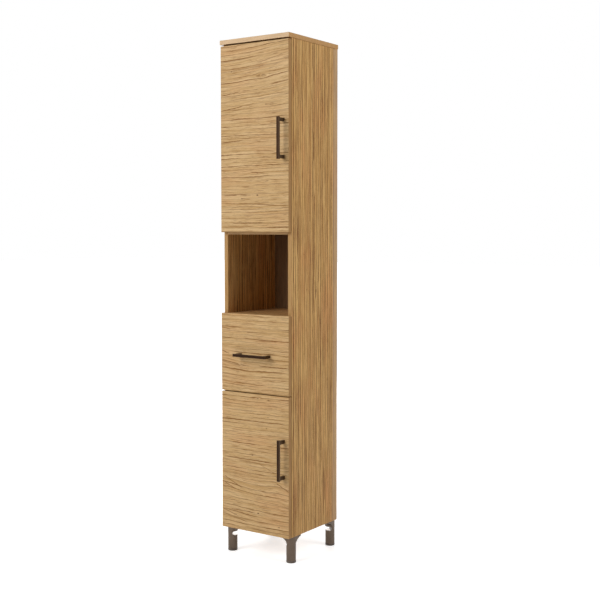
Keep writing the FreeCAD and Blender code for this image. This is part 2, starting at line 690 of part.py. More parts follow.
def top_panel():
    """The top panel. It lies on the sides and reaches forward over the door."""
    side = half + d["top_overhang_side"]
    piece = board("top_panel", (-side, face - d["top_overhang_front"], top_under), (side, rear, body_top))
    reach = inner + d["rebate_width"]
    piece.cut("XY_Plane", top_under, top_under + d["rebate_width"],
              rectangle(-reach, sheet_front, reach, rear))
    edge_x = half - d["board"] / 2
    piece.cut("XY_Plane", top_under, top_under + d["dowel_in_face"],
              *[ring(x, y, d["dowel_radius"]) for x in (-edge_x, edge_x) for y in dowel_rows])
    piece.cut("XY_Plane", top_under, top_under + d["bolt_thread"],
              *[ring(x, y, d["bolt_thread_radius"]) for x in (-edge_x, edge_x) for y in cam_rows])
    piece.cut("XY_Plane", top_under, top_under + d["screw_length"] - d["bracket_steel"],
              *[ring(x, bracket_screw_row, d["screw_radius"]) for x in bracket_rows])


bracket_rows = (-d["bracket_spacing"] / 2, d["bracket_spacing"] / 2)
bracket_screw_row = sheet_front - d["bracket_screw_front"]
wall_hole_height = top_under - d["bracket_hole_drop"]


def back_panel():
    """The thin back sheet, in a rebate at the sides and the top."""
    side = inner + d["rebate_width"] - d["sheet_clearance"]
    low = body_bottom + d["sheet_clearance"]
    high = top_under + d["rebate_width"] - d["sheet_clearance"]
    piece = Piece("back_panel", (-side, sheet_front, low))
    piece.pad("XY_Plane", low, high, rectangle(-side, sheet_front, side, sheet_back))
    piece.cut("XZ_Plane", sheet_front, sheet_back,
              *[ring(x, wall_hole_height, d["wall_hole_radius"]) for x in bracket_rows])
    piece.cut("XZ_Plane", sheet_front, sheet_back,
              *[ring(x, z, d["nail_radius"]) for x, z in nail_spots()])


def nail_rows(side):
    """Nails down one side, -1 for the left and 1 for the right."""
    x = (inner + d["rebate_width"] / 2) * side
    pitch = (top_under - body_bottom - d["nail_inset"] * 2) / (NAIL_COUNT - 1)
    return [(x, body_bottom + d["nail_inset"] + pitch * row) for row in range(NAIL_COUNT)]


def nail_spots():
    """Nails down both sides, and one into each fixed board."""
    middles = [(size(0), under + d["board"] / 2) for _, under, _ in FIXED_BOARDS]
    return nail_rows(-1) + nail_rows(1) + middles


def loose_shelf(label, pin_height):
    """A shelf that lies on four pins."""
    side = inner - d["shelf_clearance"]
    under = pin_height + d["pin_radius"]
    front = carcass_front + d["shelf_setback"]
    back = sheet_front - d["shelf_back_gap"]
    board(label, (-side, front, under), (side, back, under + d["board"]))


def carcass_fittings():
    """Pins, dowels, cams, bolts and nails of the carcass."""
    left = turned(ALONG_Y, 90)
    right = turned(ALONG_Y, -90)
    pins = []
    for _, height in SHELVES:
        for y in pin_rows:
            pins += [(-inner, y, height, left), (inner, y, height, right)]
    copies("shelf_pins", SHELF_PIN, pins)
    shift = (d["dowel_in_end"] - d["dowel_in_face"]) / 2
    dowels = []
    bolts = []
    cams = []
    for _, under, cams_below in FIXED_BOARDS:
        middle = under + d["board"] / 2
        cam_x = inner - d["cam_setback"]
        for y in dowel_rows:
            dowels += [(shift - inner, y, middle, left), (inner - shift, y, middle, left)]
        for y in cam_rows:
            bolts += [(-inner, y, middle, left), (inner, y, middle, right)]
            if cams_below:
                cams += [(-cam_x, y, under, turned(UP, 180)), (cam_x, y, under)]
            else:
                over = under + d["board"]
                cams += [(-cam_x, y, over, turned(ALONG_Y, 180)), (cam_x, y, over, turned(ALONG_X, 180))]
    edge_x = half - d["board"] / 2
    for x in (-edge_x, edge_x):
        for y in dowel_rows:
            dowels.append((x, y, top_under - shift))
        for y in cam_rows:
            bolts.append((x, y, top_under, turned(ALONG_X, 180)))
    for y in cam_rows:
        cams.append((-inner, y, top_under - d["cam_setback"], turned(ALONG_Y, -90)))
        cams.append((inner, y, top_under - d["cam_setback"], turned(UP, 180) * turned(ALONG_Y, -90)))
    copies("carcass_dowels", DOWEL, dowels)
    copies("cam_bolts", CAM_BOLT, bolts)
    copies("cam_locks", CAM_LOCK, cams)
    copies("back_panel_nails", NAIL,
           [(x, sheet_back, z, turned(ALONG_X, -90)) for x, z in nail_spots()])


def wall_brackets():
    """Two steel angles under the top panel, with a hole through the back for a wall screw."""
    leg = d["bracket_leg"]
    steel = d["bracket_steel"]
    width = d["bracket_width"] / 2
    master = Piece("wall_bracket_master", kept=False)
    master.pad("YZ_Plane", -width, width,
               [(-leg, 0), (-leg, -steel), (-steel, -steel), (-steel, -leg), (0, -leg), (0, 0)])
    master.soften(steel * 0.8, lambda edge: near(edge, 1, -steel.value) and near(edge, 2, -steel.value))
    master.cut("XZ_Plane", -leg, 0, ring(0, -d["bracket_hole_drop"], d["wall_hole_radius"]))
    master.cut("XY_Plane", -steel, 0, ring(0, -d["bracket_screw_front"], d["screw_radius"]))
    copies("wall_brackets", master.body, [(x, sheet_front, top_under) for x in bracket_rows])
    head_down = turned(ALONG_X, 180)
    copies("wall_bracket_screws", WOOD_SCREW,
           [(x, bracket_screw_row, top_under - steel, head_down) for x in bracket_rows])


# ---- legs and levelling feet -------------------------------------------------------------------

# Corners of a regular outline of sixteen sides round a circle of radius 1.
CORNER_SIDE = 0.1989
CORNER_NEAR = 0.5665
CORNER_FAR = 0.8478


def leg_master():
    """A round column that flares into its plate. The plate reaches inwards, square to the body,
    and its outer corner follows the column. A window on the inner side reaches the middle."""
    height = d["leg_height"]
    seat = height - d["leg_plate"]
    radius = d["leg_radius"]
    inside = d["leg_plate_inside"]
    widest = radius + d["leg_flare"] + 1
    far = inside * 3
    piece = Piece("leg_master", kept=False)
    piece.turn((0, d["foot_height"]), (radius, d["foot_height"]), (radius, seat), (widest, seat),
               (widest, height), (0, height))
    piece.soften(d["leg_flare"], lambda edge: near(edge, 2, seat.value)
                 and abs(edge.BoundBox.XMax - radius.value) < 0.01)
    bevel = d["leg_plate_bevel"]
    near_tip = radius * CORNER_NEAR
    far_tip = radius * CORNER_FAR
    side_tip = radius * CORNER_SIDE
    outline = [(-radius, -side_tip), (-far_tip, -near_tip), (-near_tip, -far_tip), (-side_tip, -radius),
               (inside - bevel, -radius), (inside, bevel - radius), (inside, inside - bevel),
               (inside - bevel, inside), (bevel - radius, inside), (-radius, inside - bevel)]
    piece.cut("XY_Plane", 0, height, rectangle(-far, -far, far, far), outline)
    # The plate's corners that the flare doesn't reach.
    piece.pad("XY_Plane", seat, height, outline)
    middle = height - d["leg_window_drop"]
    window = d["leg_window_radius"]
    piece.cut_across(45, far, ring(window * 0.5, middle, window))
    piece.cut_across(45, far, rectangle(window * 0.5, middle - window, far, middle + window))
    bore = d["stem_radius"] + d["stem_clearance"]
    piece.cut("XY_Plane", 0, d["foot_height"] + d["stem_length"] + d["stem_end_gap"], ring(0, 0, bore))
    head = d["screw_head_radius"] + d["leg_screw_gap"]
    piece.cut("XY_Plane", 0, seat, *[ring(x, y, head) for x, y in plate_screws()])
    piece.cut("XY_Plane", seat, height, *[ring(x, y, d["screw_radius"]) for x, y in plate_screws()])
    return piece.body


def foot_master():
    """A levelling foot: a thick round pad with rounded rims, and the stem that screws into a leg."""
    top = d["foot_height"] - d["foot_gap"]
    radius = d["foot_radius"]
    stem = d["stem_radius"]
    stem_top = d["foot_height"] + d["stem_length"]
    piece = Piece("foot_master", kept=False)
    tip = d["stem_tip"]
    piece.turn((0, 0), (radius, 0), (radius, top), (stem, top), (stem, stem_top - tip),
               (stem - tip, stem_top), (0, stem_top))
    return piece.soften(d["foot_rim"], lambda edge: abs(edge.BoundBox.XMax - radius.value) < 0.01
                        and edge.BoundBox.ZLength < 0.01).body


def legs_and_feet():
    """Four legs with their screws, and four levelling feet."""
    leg = leg_master()
    foot = foot_master()
    for name, x, y, degrees in leg_spots():
        copies(f"leg_{name}", leg, [(x, y, 0, turned(UP, degrees))])
        copies(f"foot_{name}", foot, [(x, y, 0)])
    seat = body_bottom - d["leg_plate"]
    head_down = turned(ALONG_X, 180)
    copies("leg_screws", WOOD_SCREW, [(x, y, seat, head_down) for x, y in leg_screw_spots()])


# ---- handles, hinges and doors -----------------------------------------------------------------

def handle_master():
    """A handle, upright. z = 0 is its middle, y = 0 the face that it is screwed to."""
    long = d["handle_length"] / 2
    out = d["handle_projection"]
    bar = out - d["handle_bar"]
    width = d["handle_width"] / 2
    middle = d["handle_spacing"] / 2
    post = d["handle_post"] / 2
    piece = Piece("handle_master", kept=False)
    piece.pad("YZ_Plane", -width, width,
              [(-out, -long), (-bar, -long), (-bar, -middle - post), (0, -middle - post),
               (0, post - middle), (-bar, post - middle), (-bar, middle - post), (0, middle - post),
               (0, middle + post), (-bar, middle + post), (-bar, long), (-out, long)])
    inner_edge = middle.value - post.value
    piece.soften(d["handle_root"], lambda edge: near(edge, 1, -bar.value)
                 and abs(abs(edge.BoundBox.ZMin) - inner_edge) < 0.01 and edge.BoundBox.ZLength < 0.01)
    piece.soften(d["handle_edge"], lambda edge: near(edge, 1, -out.value))
    piece.cut("XZ_Plane", -d["handle_screw_bite"] - d["handle_bore_gap"], 0,
              *[ring(0, z, d["handle_screw_radius"]) for z in (-middle, middle)])
    return piece.body


def cup_master():
    """A hinge cup: a round pot with a flange. y = 0 is the back of the door."""
    outside = d["cup_radius"] - d["cup_clearance"]
    flange = d["cup_flange"]
    low = -outside * 0.8
    high = d["cup_screw_across"] + d["cup_flange_across"]
    rise = d["cup_screw_rise"] + d["cup_flange_rise"]
    piece = Piece("cup_master", kept=False)
    piece.pad("XZ_Plane", 0, flange,
              [(low, -outside * 0.6), (low * 0.2, -rise), (high, -rise), (high, rise),
               (low * 0.2, rise), (low, outside * 0.6)])
    piece.soften(d["cup_flange_corner"], lambda edge: edge.BoundBox.YLength > flange.value * 0.9)
    piece.pad("XZ_Plane", d["cup_clearance"] - d["cup_depth"], 0, ring(0, 0, outside))
    piece.cut("XZ_Plane", d["cup_clearance"] + d["cup_wall"] - d["cup_depth"], flange,
              ring(0, 0, outside - d["cup_wall"]))
    piece.cut("XZ_Plane", 0, flange, *[ring(d["cup_screw_across"], z, d["screw_radius"])
                                       for z in (-d["cup_screw_rise"], d["cup_screw_rise"])])
    return piece.body


def plate_master():
    """A hinge's mounting plate on the side panel. x and y start at the door's left front corner."""
    low = d["board"]
    high = low + d["plate_steel"]
    middle = d["front_board"] + d["front_clearance"] + d["plate_screw_back"]
    tall = d["plate_half"]
    wing = d["plate_screw_rise"] + d["plate_wing_rise"]
    front = middle - d["plate_front"]
    back = middle + d["plate_rear"]
    root_front, root_back = middle - d["plate_wing_root"], middle + d["plate_wing_root"]
    tip_front, tip_back = middle - d["plate_wing"], middle + d["plate_wing"]
    piece = Piece("hinge_plate_master", kept=False)
    piece.pad("YZ_Plane", low, high,
              [(front, -tall), (root_front, -tall), (tip_front, -wing), (tip_back, -wing),
               (root_back, -tall), (back, -tall), (back, tall), (root_back, tall),
               (tip_back, wing), (tip_front, wing), (root_front, tall), (front, tall)])
    piece.soften(d["plate_corner"], lambda edge: edge.BoundBox.XLength > d["plate_steel"].value * 0.9)
    piece.cut("YZ_Plane", low, high, *[ring(middle, z, d["screw_radius"])
                                       for z in (-d["plate_screw_rise"], d["plate_screw_rise"])])
    return piece.body


def arm_master():
    """A hinge arm: a channel over the mounting plate, its two cheeks holding the link's pin."""
    panel = d["board"]
    carcass = d["front_board"] + d["front_clearance"]
    pin_x = panel + d["link_pivot_across"]
    pin_y = d["link_pivot_back"]
    nose = d["arm_nose"]
    web = panel + d["arm_rise"]
    end = carcass + d["plate_screw_back"] + d["arm_rear"]
    low = panel + d["plate_steel"] + d["arm_plate_gap"]
    cheek = panel + d["arm_panel_gap"]
    shoulder = carcass + d["arm_shoulder"]
    bridge = carcass + d["arm_bridge"]
    under_web = web - d["arm_steel"]
    mouth_x = pin_x - end
    mouth_y = pin_y - end
    half_arm = d["arm_half"]
    inside = half_arm - d["arm_steel"]
    piece = Piece("hinge_arm_master", kept=False)
    piece.pad("XY_Plane", -half_arm, half_arm,
              [(pin_x - nose * 0.6, pin_y - nose), (pin_x + nose * 0.5, pin_y - nose),
               (pin_x + nose, pin_y - nose * 0.4), (pin_x + nose, pin_y + nose * 1.4), (web, shoulder),
               (web, end), (low, end), (low, carcass + d["arm_heel"]), (cheek, carcass + d["arm_toe"]),
               (cheek, pin_y + nose), (pin_x - nose * 0.9, pin_y)])
    piece.cut("XY_Plane", -inside, inside,
              rectangle(mouth_x, mouth_y, web + 1, bridge),
              rectangle(mouth_x, bridge + d["arm_bridge_steel"], under_web, end - d["arm_end_wall"]))
    piece.cut("XY_Plane", -inside, inside,
              rectangle(mouth_x, shoulder, under_web, carcass + d["arm_toe"]))
    piece.pad("XY_Plane", -half_arm, half_arm, ring(pin_x, pin_y, d["link_pin_radius"]))
    return piece.body


def link_master():
    """A cranked hinge link: an eye on the arm's pin, an elbow, and an end that stays in the cup."""
    pin_x = d["board"] + d["link_pivot_across"]
    pin_y = d["link_pivot_back"]
    elbow_x = pin_x + d["link_elbow_across"]
    elbow_y = pin_y + d["link_elbow_back"]
    end_x = elbow_x + d["link_end_across"]
    end_y = elbow_y - d["link_end_front"]
    thick = d["link_steel"] / 2
    tall = d["link_half"]
    piece = Piece("hinge_link_master", kept=False)
    piece.pad("XY_Plane", -tall, tall,
              [(pin_x + thick * 0.3, pin_y - thick), (elbow_x - thick, elbow_y - thick),
               (end_x - thick, end_y - thick * 0.4), (end_x + thick, end_y + thick * 0.4),
               (elbow_x + thick * 0.8, elbow_y + thick * 0.8), (pin_x - thick * 0.3, pin_y + thick)])
    piece.pad("XY_Plane", -tall, tall, ring(pin_x, pin_y, d["link_eye"]))
    piece.cut("XY_Plane", -tall, tall,
              ring(pin_x, pin_y, d["link_pin_radius"] + d["link_pin_clearance"]))
    return piece.body


def bumper_master():
    """A soft clear dome. z = 0 is the back of the door."""
    radius = d["bumper_radius"]
    height = d["bumper_height"]
    piece = Piece("bumper_master", kept=False)
    piece.turn((0, 0), (radius, 0), (radius, height * 0.4), (radius * 0.75, height * 0.85),
               (radius * 0.4, height), (0, height))
    return piece.body


HANDLE = handle_master()
CUP = cup_master()
BUMPER = bumper_master()


def door(name, low, high, handle_height):
    """A door with its cups, handle, screws and bumpers."""
    handle_x = half - d["handle_inset"]
    cup_x = d["cup_across"] - inner
    screws = [handle_height + d["handle_spacing"] / 2, handle_height - d["handle_spacing"] / 2]
    heights = hinge_heights[name]
    piece = board(f"{name}_door_panel", (-half, face, low), (half, front_back, high))
    piece.cut("XZ_Plane", front_back - d["cup_depth"], front_back,
              *[ring(cup_x, z, d["cup_radius"]) for z in heights])
    cup_screw_x = cup_x + d["cup_screw_across"]
    cup_screws = [z + rise * d["cup_screw_rise"] for z in heights for rise in (-1, 1)]
    piece.cut("XZ_Plane", front_back + d["cup_flange"] - d["screw_length"], front_back,
              *[ring(cup_screw_x, z, d["screw_radius"]) for z in cup_screws])
    piece.cut("XZ_Plane", face, front_back,
              *[ring(handle_x, z, d["handle_screw_radius"]) for z in screws])
    head_back = turned(ALONG_X, -90)
    copies(f"{name}_hinge_cups", CUP, [(cup_x, front_back, z) for z in heights])
    copies(f"{name}_cup_screws", WOOD_SCREW,
           [(cup_screw_x, front_back + d["cup_flange"], z, head_back) for z in cup_screws])
    copies(f"{name}_handle", HANDLE, [(handle_x, face, handle_height)])
    copies(f"{name}_handle_screws", HANDLE_SCREW, [(handle_x, front_back, z, head_back) for z in screws])
    bumpers = (low + d["bumper_drop"], high - d["bumper_drop"])
    copies(f"{name}_bumpers", BUMPER,
           [(half - d["bumper_inset"], front_back, z, head_back) for z in bumpers])


def hinges():
    """Mounting plates, arms and links, at each hinge of both doors."""
    plate = plate_master()
    arm = arm_master()
    link = link_master()
    everywhere = hinge_heights["upper"] + hinge_heights["lower"]
    copies("hinge_plates", plate, [(-half, face, z) for z in everywhere])
    copies("hinge_arms", arm, [(-half, face, z) for z in everywhere])
    for name, heights in hinge_heights.items():
        copies(f"{name}_hinge_links", link, [(-half, face, z) for z in heights])
    head_in = turned(ALONG_Y, 90)
    copies("hinge_plate_screws", WOOD_SCREW,
           [(d["plate_steel"] - inner, plate_screw_row, z + rise * d["plate_screw_rise"], head_in)
            for z in everywhere for rise in (-1, 1)])


# ---- the drawer --------------------------------------------------------------------------------

box_cam_heights = (box_bottom + d["box_cam_rise"], box_top - d["box_cam_rise"])
box_cam_row = front_back + d["cam_setback"]
box_side_middle = box_outside - d["box_board"] / 2
box_screw_heights = (box_bottom + d["box_groove_rise"] + d["box_screw_inset"],
                     box_top - d["box_screw_inset"])


def drawer_front():
    """The drawer's face, with the holes behind it."""
    handle_height = drawer_top_edge - d["drawer_handle_drop"]
    spacing = d["handle_spacing"] / 2
    piece = board("drawer_front", (-half, face, drawer_bottom_edge), (half, front_back, drawer_top_edge))
    piece.cut("XZ_Plane", face, front_back,
              *[ring(x, handle_height, d["handle_screw_radius"]) for x in (-spacing, spacing)])
    piece.cut("XZ_Plane", front_back - d["bolt_thread"], front_back,
              *[ring(x, z, d["bolt_thread_radius"])
                for x in (-box_side_middle, box_side_middle) for z in box_cam_heights])
    reach = box_inside + d["box_groove"]
    piece.cut("XZ_Plane", front_back - d["box_groove"], front_back,
              rectangle(-reach, groove_low, reach, groove_high))
    copies("drawer_handle", HANDLE, [(0, face, handle_height, turned(ALONG_Y, 90))])
    copies("drawer_handle_screws", HANDLE_SCREW,
           [(x, front_back, handle_height, turned(ALONG_X, -90)) for x in (-spacing, spacing)])


def drawer_side(label, side):
    """A side of the drawer box. side is -1 for the left one and 1 for the right one."""
    low_x = -box_outside if side < 0 else box_inside
    high_x = -box_inside if side < 0 else box_outside
    piece = board(label, (low_x, front_back, box_bottom), (high_x, box_rear, box_top))
    in_low = high_x - d["box_groove"] if side < 0 else low_x
    in_high = high_x if side < 0 else low_x + d["box_groove"]
    piece.cut("XZ_Plane", front_back, box_rear, rectangle(in_low, groove_low, in_high, groove_high))
    piece.cut("XZ_Plane", front_back, box_cam_row,
              *[ring((low_x + high_x) / 2, z, d["bolt_radius"] + d["bolt_clearance"])
                for z in box_cam_heights])
    cam_low = high_x - d["box_cam_depth"] if side < 0 else low_x
    cam_high = high_x if side < 0 else low_x + d["box_cam_depth"]
    piece.cut("YZ_Plane", cam_low, cam_high,
              *[ring(box_cam_row, z, d["box_cam_radius"]) for z in box_cam_heights])
    piece.cut("YZ_Plane", low_x, high_x,
              *[ring(box_rear - d["box_board"] / 2, z, d["handle_screw_radius"])
                for z in box_screw_heights])
    bite = d["screw_length"] - d["runner_steel"]
    out_low = low_x if side < 0 else high_x - bite
    out_high = low_x + bite if side < 0 else high_x
    piece.cut("YZ_Plane", out_low, out_high,
              *[ring(y, runner_middle, d["screw_radius"]) for y in runner_screw_rows])


def drawer_box():
    """The sides, back and bottom of the drawer box, with their fasteners."""
    drawer_side("drawer_left_side", -1)
    drawer_side("drawer_right_side", 1)
    back_front = box_rear - d["box_board"]
    screw_bite = HANDLE_SCREW_LENGTH - d["box_board"]
    back = board("drawer_back", (-box_inside, back_front, groove_high), (box_inside, box_rear, box_top))
    for low, high in ((-box_inside, screw_bite - box_inside), (box_inside - screw_bite, box_inside)):
        back.cut("YZ_Plane", low, high,
                 *[ring(box_rear - d["box_board"] / 2, z, d["handle_screw_radius"])
                   for z in box_screw_heights])
    reach = box_inside + d["box_groove"] - d["groove_clearance"]
    low_y = front_back - d["box_groove"] + d["groove_clearance"]
    bottom = Piece("drawer_bottom", (-reach, low_y, groove_low))
    bottom.pad("XY_Plane", groove_low, groove_low + d["box_sheet"],
               rectangle(-reach, low_y, reach, box_rear))
    left = turned(ALONG_Y, 90)
    right = turned(ALONG_Y, -90)
    screw_y = box_rear - d["box_board"] / 2
    copies("drawer_back_screws", HANDLE_SCREW,
           [spot for z in box_screw_heights
            for spot in ((-box_outside, screw_y, z, right), (box_outside, screw_y, z, left))])
    copies("drawer_cam_bolts", CAM_BOLT,
           [(x, front_back, z, turned(ALONG_X, -90))
            for x in (-box_side_middle, box_side_middle) for z in box_cam_heights])
    cams = []
    for z in box_cam_heights:
        cams.append((-box_inside, box_cam_row, z, turned(UP, -90) * turned(ALONG_X, -90)))
        cams.append((box_inside, box_cam_row, z, turned(UP, -90) * turned(ALONG_X, 90)))
    copies("drawer_cams", BOX_CAM, cams)


def channel(low_x, web_x, lip_x, half_height):
    """The outline of a runner member: a web from low_x to web_x, with two lips out to lip_x."""
    steel = d["runner_steel"]
    return [(low_x, -half_height), (lip_x, -half_height), (lip_x, steel - half_height),
            (web_x, steel - half_height), (web_x, half_height - steel),
            (lip_x, half_height - steel), (lip_x, half_height), (low_x, half_height)]


def runners():
    """Two ball-bearing runners. x = 0 is the face of the side panel, and +X goes to the drawer."""
    steel = d["runner_steel"]
    gap = d["runner_gap"]
    screw_places = [(y - runner_front) for y in runner_screw_rows]
    outer = Piece("runner_outer_master", kept=False)
    outer.pad("XZ_Plane", 0, runner_length, channel(size(0), steel, d["outer_lip"], d["runner_half"]))
    outer.cut("YZ_Plane", 0, steel, *[ring(y, 0, d["screw_radius"]) for y in screw_places])
    web = d["middle_web"]
    middle_length = runner_length - d["runner_middle_stop"]
    middle = Piece("runner_middle_master", kept=False)
    middle.pad("XZ_Plane", 0, middle_length,
               channel(web, web + steel, web + d["middle_lip"], d["middle_half"]))
    close, far, tall = d["runner_slot_near"], d["runner_slot_far"], d["runner_slot_half"]
    middle.cut("YZ_Plane", web, web + steel, rectangle(close, -tall, far, tall),
               rectangle(middle_length - far, -tall, middle_length - close, tall))
    member = Piece("runner_inner_master", kept=False)
    member.pad("XZ_Plane", 0, runner_length,
               channel(gap, gap - steel, gap - d["inner_lip"], d["inner_half"]))
    member.cut("YZ_Plane", gap - steel, gap, *[ring(y, 0, d["screw_radius"]) for y in screw_places])
    # Turned half round, a runner fits the right side, and its front is then at its other end.
    half_turn = turned(UP, 180)
    for label, master, length in (("runner_outer_members", outer, runner_length),
                                  ("runner_middle_members", middle, middle_length),
                                  ("runner_inner_members", member, runner_length)):
        copies(label, master.body, [(-inner, runner_front, runner_middle),
                                    (inner, runner_front + length, runner_middle, half_turn)])


def runner_screws():
    """The screws of the runners' outer and inner members."""
    left = turned(ALONG_Y, 90)
    right = turned(ALONG_Y, -90)
    steel = d["runner_steel"]
    outside = []
    inside = []
    for y in runner_screw_rows:
        outside += [(steel - inner, y, runner_middle, left), (inner - steel, y, runner_middle, right)]
        inside += [(-box_outside - steel, y, runner_middle, right),
                   (box_outside + steel, y, runner_middle, left)]
    copies("runner_outer_screws", WOOD_SCREW, outside)
    copies("runner_inner_screws", WOOD_SCREW, inside)


def check_and_write():
    """Stop if anything failed, and write each node to its own file."""
    doc.recompute()
    failed = [thing.Label for thing in doc.Objects if {"Invalid", "Error"} & set(thing.State)]
    if failed:
        raise RuntimeError(f"failed: {failed}")
    for feature in cuts:
        if feature.BaseFeature.Shape.Volume - feature.Shape.Volume < 1e-3:
            raise RuntimeError(f"{feature.Label} takes nothing away")
    os.makedirs("parts", exist_ok=True)
    for node in nodes:
        if node.Shape.isNull() or not node.Shape.isValid() or not node.Shape.Solids:
            raise RuntimeError(f"{node.Label} has no valid solid")
        node.Shape.exportStep(f"parts/{node.Label}.step")
        box = node.Shape.BoundBox
        print(f"{node.Label}: {len(node.Shape.Solids)} solids, "
              f"{box.XLength:.1f} x {box.YLength:.1f} x {box.ZLength:.1f}")
    print(len(nodes), "nodes")


side_panel("left_side_panel", -1)
side_panel("right_side_panel", 1)
top_panel()
for board_name, board_under, board_cams_below in FIXED_BOARDS:
    fixed_board(board_name, board_under, board_cams_below)
back_panel()
for shelf_name, shelf_pin_height in SHELVES:
    loose_shelf(shelf_name, shelf_pin_height)
carcass_fittings()
wall_brackets()
legs_and_feet()
hinges()
door("upper", upper_door_bottom, upper_door_top,
     (upper_door_bottom + upper_door_top) / 2 - d["upper_handle_drop"])
door("lower", body_bottom, lower_door_top,
     (body_bottom + lower_door_top) / 2 + d["lower_handle_rise"])
drawer_front()
drawer_box()
runners()
runner_screws()
check_and_write()
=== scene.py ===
"""Tall bathroom cabinet in oak: its finishes, its hinge screws, a studio and the camera."""

import math

import bmesh
import bpy
from mathutils import Matrix, Vector


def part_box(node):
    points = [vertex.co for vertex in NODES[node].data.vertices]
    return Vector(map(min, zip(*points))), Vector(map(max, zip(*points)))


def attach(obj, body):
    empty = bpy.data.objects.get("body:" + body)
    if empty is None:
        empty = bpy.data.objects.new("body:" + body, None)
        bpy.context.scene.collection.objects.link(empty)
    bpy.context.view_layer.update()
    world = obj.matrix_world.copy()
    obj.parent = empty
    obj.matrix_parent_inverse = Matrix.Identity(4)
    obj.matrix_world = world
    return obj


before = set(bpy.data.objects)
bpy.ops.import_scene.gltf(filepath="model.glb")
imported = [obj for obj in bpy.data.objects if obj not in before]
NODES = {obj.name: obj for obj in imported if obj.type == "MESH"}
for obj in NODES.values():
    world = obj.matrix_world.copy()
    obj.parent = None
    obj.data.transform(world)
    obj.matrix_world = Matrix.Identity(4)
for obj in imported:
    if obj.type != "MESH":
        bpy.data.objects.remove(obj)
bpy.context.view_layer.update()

MM = 0.001
WHITE = (1.0, 1.0, 1.0, 1.0)

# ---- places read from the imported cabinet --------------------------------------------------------

DOOR_LOW, DOOR_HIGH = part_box("upper_door_panel")
TOP_LOW, TOP_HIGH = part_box("top_panel")


# ---- a short way to write shader nodes ----------------------------------------------------------

# A Mix node has sockets of the same name for numbers, vectors and colours. These are the colours'.
COLOUR_A = 6
COLOUR_B = 7
COLOUR_RESULT = 2


def feed(socket, value):
    """Put a number, a colour or another node's result into a socket."""
    if isinstance(value, Amount):
        value = value.socket
    if isinstance(value, bpy.types.NodeSocket):
        socket.id_data.links.new(value, socket)
    else:
        socket.default_value = value


class Amount:
    """A number that nodes work out for each place. It adds and multiplies as a plain one does."""

    def __init__(self, socket):
        self.socket = socket
        self.nodes = socket.id_data.nodes

    def step(self, kind, *others, clamp=False):
        """One arithmetic node, which takes this amount first."""
        node = self.nodes.new("ShaderNodeMath")
        node.operation = kind
        node.use_clamp = clamp
        for socket, value in zip(node.inputs, (self, *others)):
            feed(socket, value)
        return Amount(node.outputs[0])

    def __add__(self, other):
        return self.step("ADD", other)

    def __sub__(self, other):
        return self.step("SUBTRACT", other)

    def __mul__(self, other):
        return self.step("MULTIPLY", other)

    def __truediv__(self, other):
        return self.step("DIVIDE", other)

    def __abs__(self):
        return self.step("ABSOLUTE")

    def larger(self, other):
        """The larger of two amounts."""
        return self.step("MAXIMUM", other)

    def span(self, low, high, to_low=0.0, to_high=1.0, smooth=True):
        """Where this amount lies between two limits, as a number between two others."""
        node = self.nodes.new("ShaderNodeMapRange")
        node.interpolation_type = "SMOOTHSTEP" if smooth else "LINEAR"
        limits = {"Value": self, "From Min": low, "From Max": high, "To Min": to_low, "To Max": to_high}
        for name, value in limits.items():
            feed(node.inputs[name], value)
        return Amount(node.outputs["Result"])


class Recipe:
    """One material. Its calls add nodes and give back what the nodes make."""

    def __init__(self, name):
        self.material = bpy.data.materials.new(name)
        self.material.use_nodes = True
        self.nodes = self.material.node_tree.nodes
        self.nodes.clear()
        self.shader = self.nodes.new("ShaderNodeBsdfPrincipled")
        output = self.nodes.new("ShaderNodeOutputMaterial")
        feed(output.inputs["Surface"], self.shader.outputs["BSDF"])
        self.place = self.nodes.new("ShaderNodeTexCoord").outputs["Object"]

    def finish(self, **values):
        """Set the shader's own sockets. A name's underscores stand for spaces."""
        for name, value in values.items():
            feed(self.shader.inputs[name.replace("_", " ")], value)
        return self.material

    def split(self):
        """The place on the piece, as three amounts."""
        node = self.nodes.new("ShaderNodeSeparateXYZ")
        feed(node.inputs[0], self.place)
        return [Amount(socket) for socket in node.outputs]

    def join(self, x, y, z):
        """A place from three amounts."""
        node = self.nodes.new("ShaderNodeCombineXYZ")
        for socket, value in zip(node.inputs, (x, y, z)):
            feed(socket, value)
        return node.outputs[0]

    def noise(self, place, scale, detail=2.0, roughness=0.5):
        """Soft noise, about 0 to 1."""
        node = self.nodes.new("ShaderNodeTexNoise")
        values = {"Vector": place, "Scale": scale, "Detail": detail, "Roughness": roughness}
        for name, value in values.items():
            feed(node.inputs[name], value)
        return Amount(node.outputs["Fac"])

    def dice(self, value):
        """A different number, 0 to 1, for each whole number."""
        node = self.nodes.new("ShaderNodeTexWhiteNoise")
        node.noise_dimensions = "1D"
        feed(node.inputs["W"], value)
        return Amount(node.outputs["Value"])

    def blend(self, amount, first, second):
        """Two colours mixed: the first at 0, the second at 1."""
        node = self.nodes.new("ShaderNodeMix")
        node.data_type = "RGBA"
        feed(node.inputs["Factor"], amount)
        feed(node.inputs[COLOUR_A], first)
        feed(node.inputs[COLOUR_B], second)
        return node.outputs[COLOUR_RESULT]

    def bump(self, height, distance, strength):
        """A bumped normal. The height is 0 to 1 and the distance is real, in metres."""
        node = self.nodes.new("ShaderNodeBump")
        for name, value in (("Height", height), ("Distance", distance), ("Strength", strength)):
            feed(node.inputs[name], value)
        return node.outputs["Normal"]


def tint(red, green, blue):
    """A colour as it reads on a screen, 0 to 255, made ready for a shader."""
    parts = [part / 255 for part in (red, green, blue)]
    linear = [part / 12.92 if part <= 0.04045 else ((part + 0.055) / 1.055) ** 2.4 for part in parts]
    return (*linear, 1.0)


def dress(material, *names):
    """Give CAD nodes their material."""
    for name in names:
        slots = NODES[name].data.materials
        slots.clear()
        slots.append(material)


